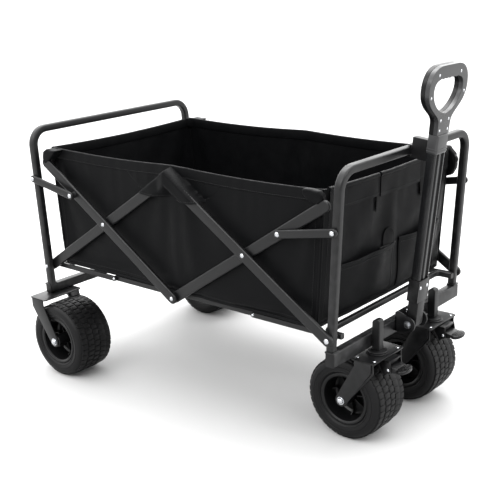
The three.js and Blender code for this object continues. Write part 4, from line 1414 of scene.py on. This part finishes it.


# ---- Front panel pockets and webbing ---------------------------------------------------
# Two open-topped canvas pockets with bound edges, a zipped arched opening filled with a dark sheet that
# paints the shade inside it, webbing tabs sewn on under the rim that paint the shade of the slots between the
# folds, and folds of canvas sewn over the rim.

def on_front(y, z, lift):
    """A point of the front panel by its place across and up."""
    return wall("front", (y / HALF_W + 1) / 2, (z - FLOOR_Z) / (RIM_Z - FLOOR_Z), lift)


def front_patch(y0, y1, z0, z1, lift, belly=0.0, nu=18, nv=14, name="Pocket"):
    def place(s, t):
        bulge = belly * math.sin(math.pi * s) * (0.35 + 0.65 * t) * (1 if t > 0 else 0)
        return on_front(y0 + (y1 - y0) * s, z0 + (z1 - z0) * t, lift + bulge)

    obj, size = patch("front", place, nu, nv, name=name)
    return obj, size, place


details = []
for name, y0, y1, z0, z1, belly in (("Pocket right", -0.190, 0.010, 0.284, 0.388, 0.010),
                                    ("Pocket left", 0.034, 0.200, 0.284, 0.392, 0.011)):
    obj, size, place = front_patch(y0, y1, z0, z1, 0.0024, belly, name=name)
    details.append((obj, size, CANVAS))
    edge = [place(k / 24, 1.0) for k in range(25)]
    binding = to_object(sweep(edge, rounded_rectangle(0.0042, 0.008, 0.0018, 3), X), f"{name} binding")
    soft(binding, CANVAS)
    stitch_lines.append([place(k / 24, 0.93) + X * 0.0011 for k in range(1, 24)])
    for s in (0.03, 0.97):
        stitch_lines.append([place(s, k / 20) + X * 0.0011 for k in range(20)])


def arch(s, t):
    """A zipped arch above the right pocket: narrower toward its round top."""
    half = 0.019 * math.sqrt(max(0, 1 - (0.97 * t) ** 2)) + 0.0006
    return on_front(-0.012 + half * (2 * s - 1), 0.3925 + 0.034 * t, 0.0022)


# The arch is filled with a flat dark sheet that paints the shade inside the opening.
arch_shade_sheet, arch_size = patch("front", arch, 16, 12, name="Arched opening")
details.append((arch_shade_sheet, arch_size, WEBBING))
arch_edge = [arch(0, k / 12) for k in range(13)] + [arch(1, k / 12) for k in range(12, -1, -1)]
soft(to_object(sweep(arch_edge, rounded_rectangle(0.0022, 0.0026, 0.0009, 3), X), "Arch piping"), CANVAS)
lower_edge = [arch(k / 10, 0) + Z * -0.002 for k in range(-3, 13)]
soft(to_object(sweep(lower_edge, rounded_rectangle(0.0030, 0.0030, 0.0012, 3), X), "Zip line"), THREAD)
# The dark webbing tabs paint the shade in the slots between the rim folds.
for name, y0, y1, z0, z1, lift in (("Webbing tab right", -0.064, -0.046, 0.474, 0.545, 0.0040),
                                   ("Webbing tab left", 0.110, 0.130, 0.470, 0.545, 0.0040),
                                   ("Rim fold right", -0.226, -0.054, 0.506, 0.549, 0.0046),
                                   ("Rim fold middle", -0.050, 0.104, 0.503, 0.553, 0.0064),
                                   ("Rim fold left", 0.108, 0.226, 0.506, 0.549, 0.0046)):
    obj, size, place = front_patch(y0, y1, z0, z1, lift, 0.0012, 14, 10, name)
    details.append((obj, size, WEBBING if "Webbing" in name else CANVAS))
    if "fold" in name:
        lip = [place(k / 14, 1.0) - X * 0.0012 for k in range(15)]
        soft(to_object(sweep(lip, rounded_rectangle(0.0085, 0.0085, 0.0038, 4), X), f"{name} lip"), CANVAS)
    stitch_lines.append([place(k / 10, 0.12) + X * 0.0011 for k in range(11)])
for obj, size, mat in details:
    soft(obj, mat)

stitch_bm = bmesh.new()
for line in stitch_lines:
    mesh = bpy.data.meshes.new("Stitch line")
    mesh.from_pydata([tuple(p) for p in line], [(k, k + 1) for k in range(len(line) - 1)], [])
    stitch_bm.from_mesh(mesh)
    bpy.data.meshes.remove(mesh)
stitch_obj = to_object(stitch_bm, "Stitches")
modifier = stitch_obj.modifiers.new("Stitches", "NODES")
modifier.node_group = STITCHES
modifier[STITCH_INPUTS["Material"]] = THREAD
convert(stitch_obj)
soft(stitch_obj, THREAD)


# ---- Floor mat -------------------------------------------------------------------------
# A padded mat of four boards in a canvas cover, softly domed between its sewn fold lines.
# It lies loose on the basket's floor.

mat_low, mat_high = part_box("floor_mat")
mat_bm = bmesh.new()
mat_uv = mat_bm.loops.layers.uv.new("UVMap")
nx, ny = 88, 44
MAT_CLOTH = (0.716, 0.462)
thick = mat_high.z - mat_low.z
tops = []
for i in range(nx + 1):
    row = []
    for j in range(ny + 1):
        s, t = i / nx, j / ny
        board = min(abs((s * 4) % 1), 1 - abs((s * 4) % 1))
        edge = min(s * 6, (1 - s) * 6, t * 5, (1 - t) * 5, board * 2.2, 0.5) / 0.5
        puff = 0.45 + 0.55 * smoothstep(0, 1, min(edge, 1)) + 0.03 * math.sin(23 * t + 9 * s)
        row.append(mat_bm.verts.new((mat_low.x + (mat_high.x - mat_low.x) * s,
                                     mat_low.y + (mat_high.y - mat_low.y) * t,
                                     mat_low.z + thick * min(puff, 1))))
    tops.append(row)
sheet_faces(mat_bm, mat_uv, tops, *MAT_CLOTH)
skirt = bmesh.ops.extrude_edge_only(mat_bm, edges=[e for e in mat_bm.edges if len(e.link_faces) == 1])["geom"]
base = [g for g in skirt if isinstance(g, bmesh.types.BMVert)]
for vert in base:
    vert.co.z = mat_low.z
bmesh.ops.contextual_create(mat_bm, geom=[e for e in mat_bm.edges if len(e.link_faces) == 1])
bmesh.ops.recalc_face_normals(mat_bm, faces=mat_bm.faces)
mat_obj = soft(to_object(mat_bm, "Floor mat"), CANVAS, "floor_mat")

set_rivets()


# ---- Camera, floor and light -----------------------------------------------------------
# A studio set that isn't part of the object: a pale floor, a sky that is brightest
# overhead and behind, and three soft rectangular panels.

camera = bpy.data.objects.new("Camera", bpy.data.cameras.new("Camera"))
scene.collection.objects.link(camera)
yaw, pitch, roll = -0.69732, -0.30089, -0.02949
ahead = Vector((math.cos(pitch) * math.sin(yaw), math.cos(pitch) * math.cos(yaw), math.sin(pitch)))
right = ahead.cross(Z).normalized()
up = right.cross(ahead)
turned_right = right * math.cos(roll) + up * math.sin(roll)
turned_up = up * math.cos(roll) - right * math.sin(roll)
camera.matrix_world = axes(Vector((MID_X + 1.3916, -1.6505, 0.9721)), turned_right, turned_up, -ahead)
camera.data.lens = 69.15
camera.data.sensor_width = 36
scene.camera = camera

floor_mesh = bpy.data.meshes.new("Floor")
floor_mesh.from_pydata([(-30, -30, 0), (30, -30, 0), (30, 30, 0), (-30, 30, 0)], [], [(0, 1, 2, 3)])
floor = bpy.data.objects.new("Floor", floor_mesh)
scene.collection.objects.link(floor)
floor_material = bpy.data.materials.new("Studio floor")
floor_material.use_nodes = True
floor_shader = floor_material.node_tree.nodes["Principled BSDF"]
floor_shader.inputs["Base Color"].default_value = (0.40, 0.40, 0.40, 1)
floor_shader.inputs["Roughness"].default_value = 0.9
floor_mesh.materials.append(floor_material)

scene.view_settings.view_transform = "Standard"
world = bpy.data.worlds.new("Studio")
scene.world = world
world.use_nodes = True
sky = world.node_tree.nodes["Background"]
sky.inputs["Color"].default_value = (1, 1, 1, 1)
toward = world.node_tree.nodes.new("ShaderNodeVectorMath")
toward.operation = "DOT_PRODUCT"
toward.inputs[1].default_value = (-0.30, 0.36, 0.88)
direction = world.node_tree.nodes.new("ShaderNodeTexCoord").outputs["Generated"]
world.node_tree.links.new(direction, toward.inputs[0])
world.node_tree.links.new(remap(world.node_tree, toward.outputs["Value"], -0.1, 0.9, 1.0, 4.5),
                          sky.inputs["Strength"])


def area_light(name, place, target, size, power):
    data = bpy.data.lights.new(name, "AREA")
    data.shape = "RECTANGLE"
    data.size, data.size_y = size
    data.energy = power
    light = bpy.data.objects.new(name, data)
    scene.collection.objects.link(light)
    light.location = place
    light.rotation_euler = (Vector(target) - Vector(place)).to_track_quat("-Z", "Y").to_euler()


area_light("Key", (0.2, -3.0, 2.8), (0, 0, 0.3), (2.6, 1.0), 72)
area_light("Side", (3.0, 0.4, 1.9), (0.2, 0, 0.35), (0.45, 1.8), 26)
area_light("Top", (-0.6, 0.8, 3.4), (0, 0, 0.4), (2.8, 1.2), 90)
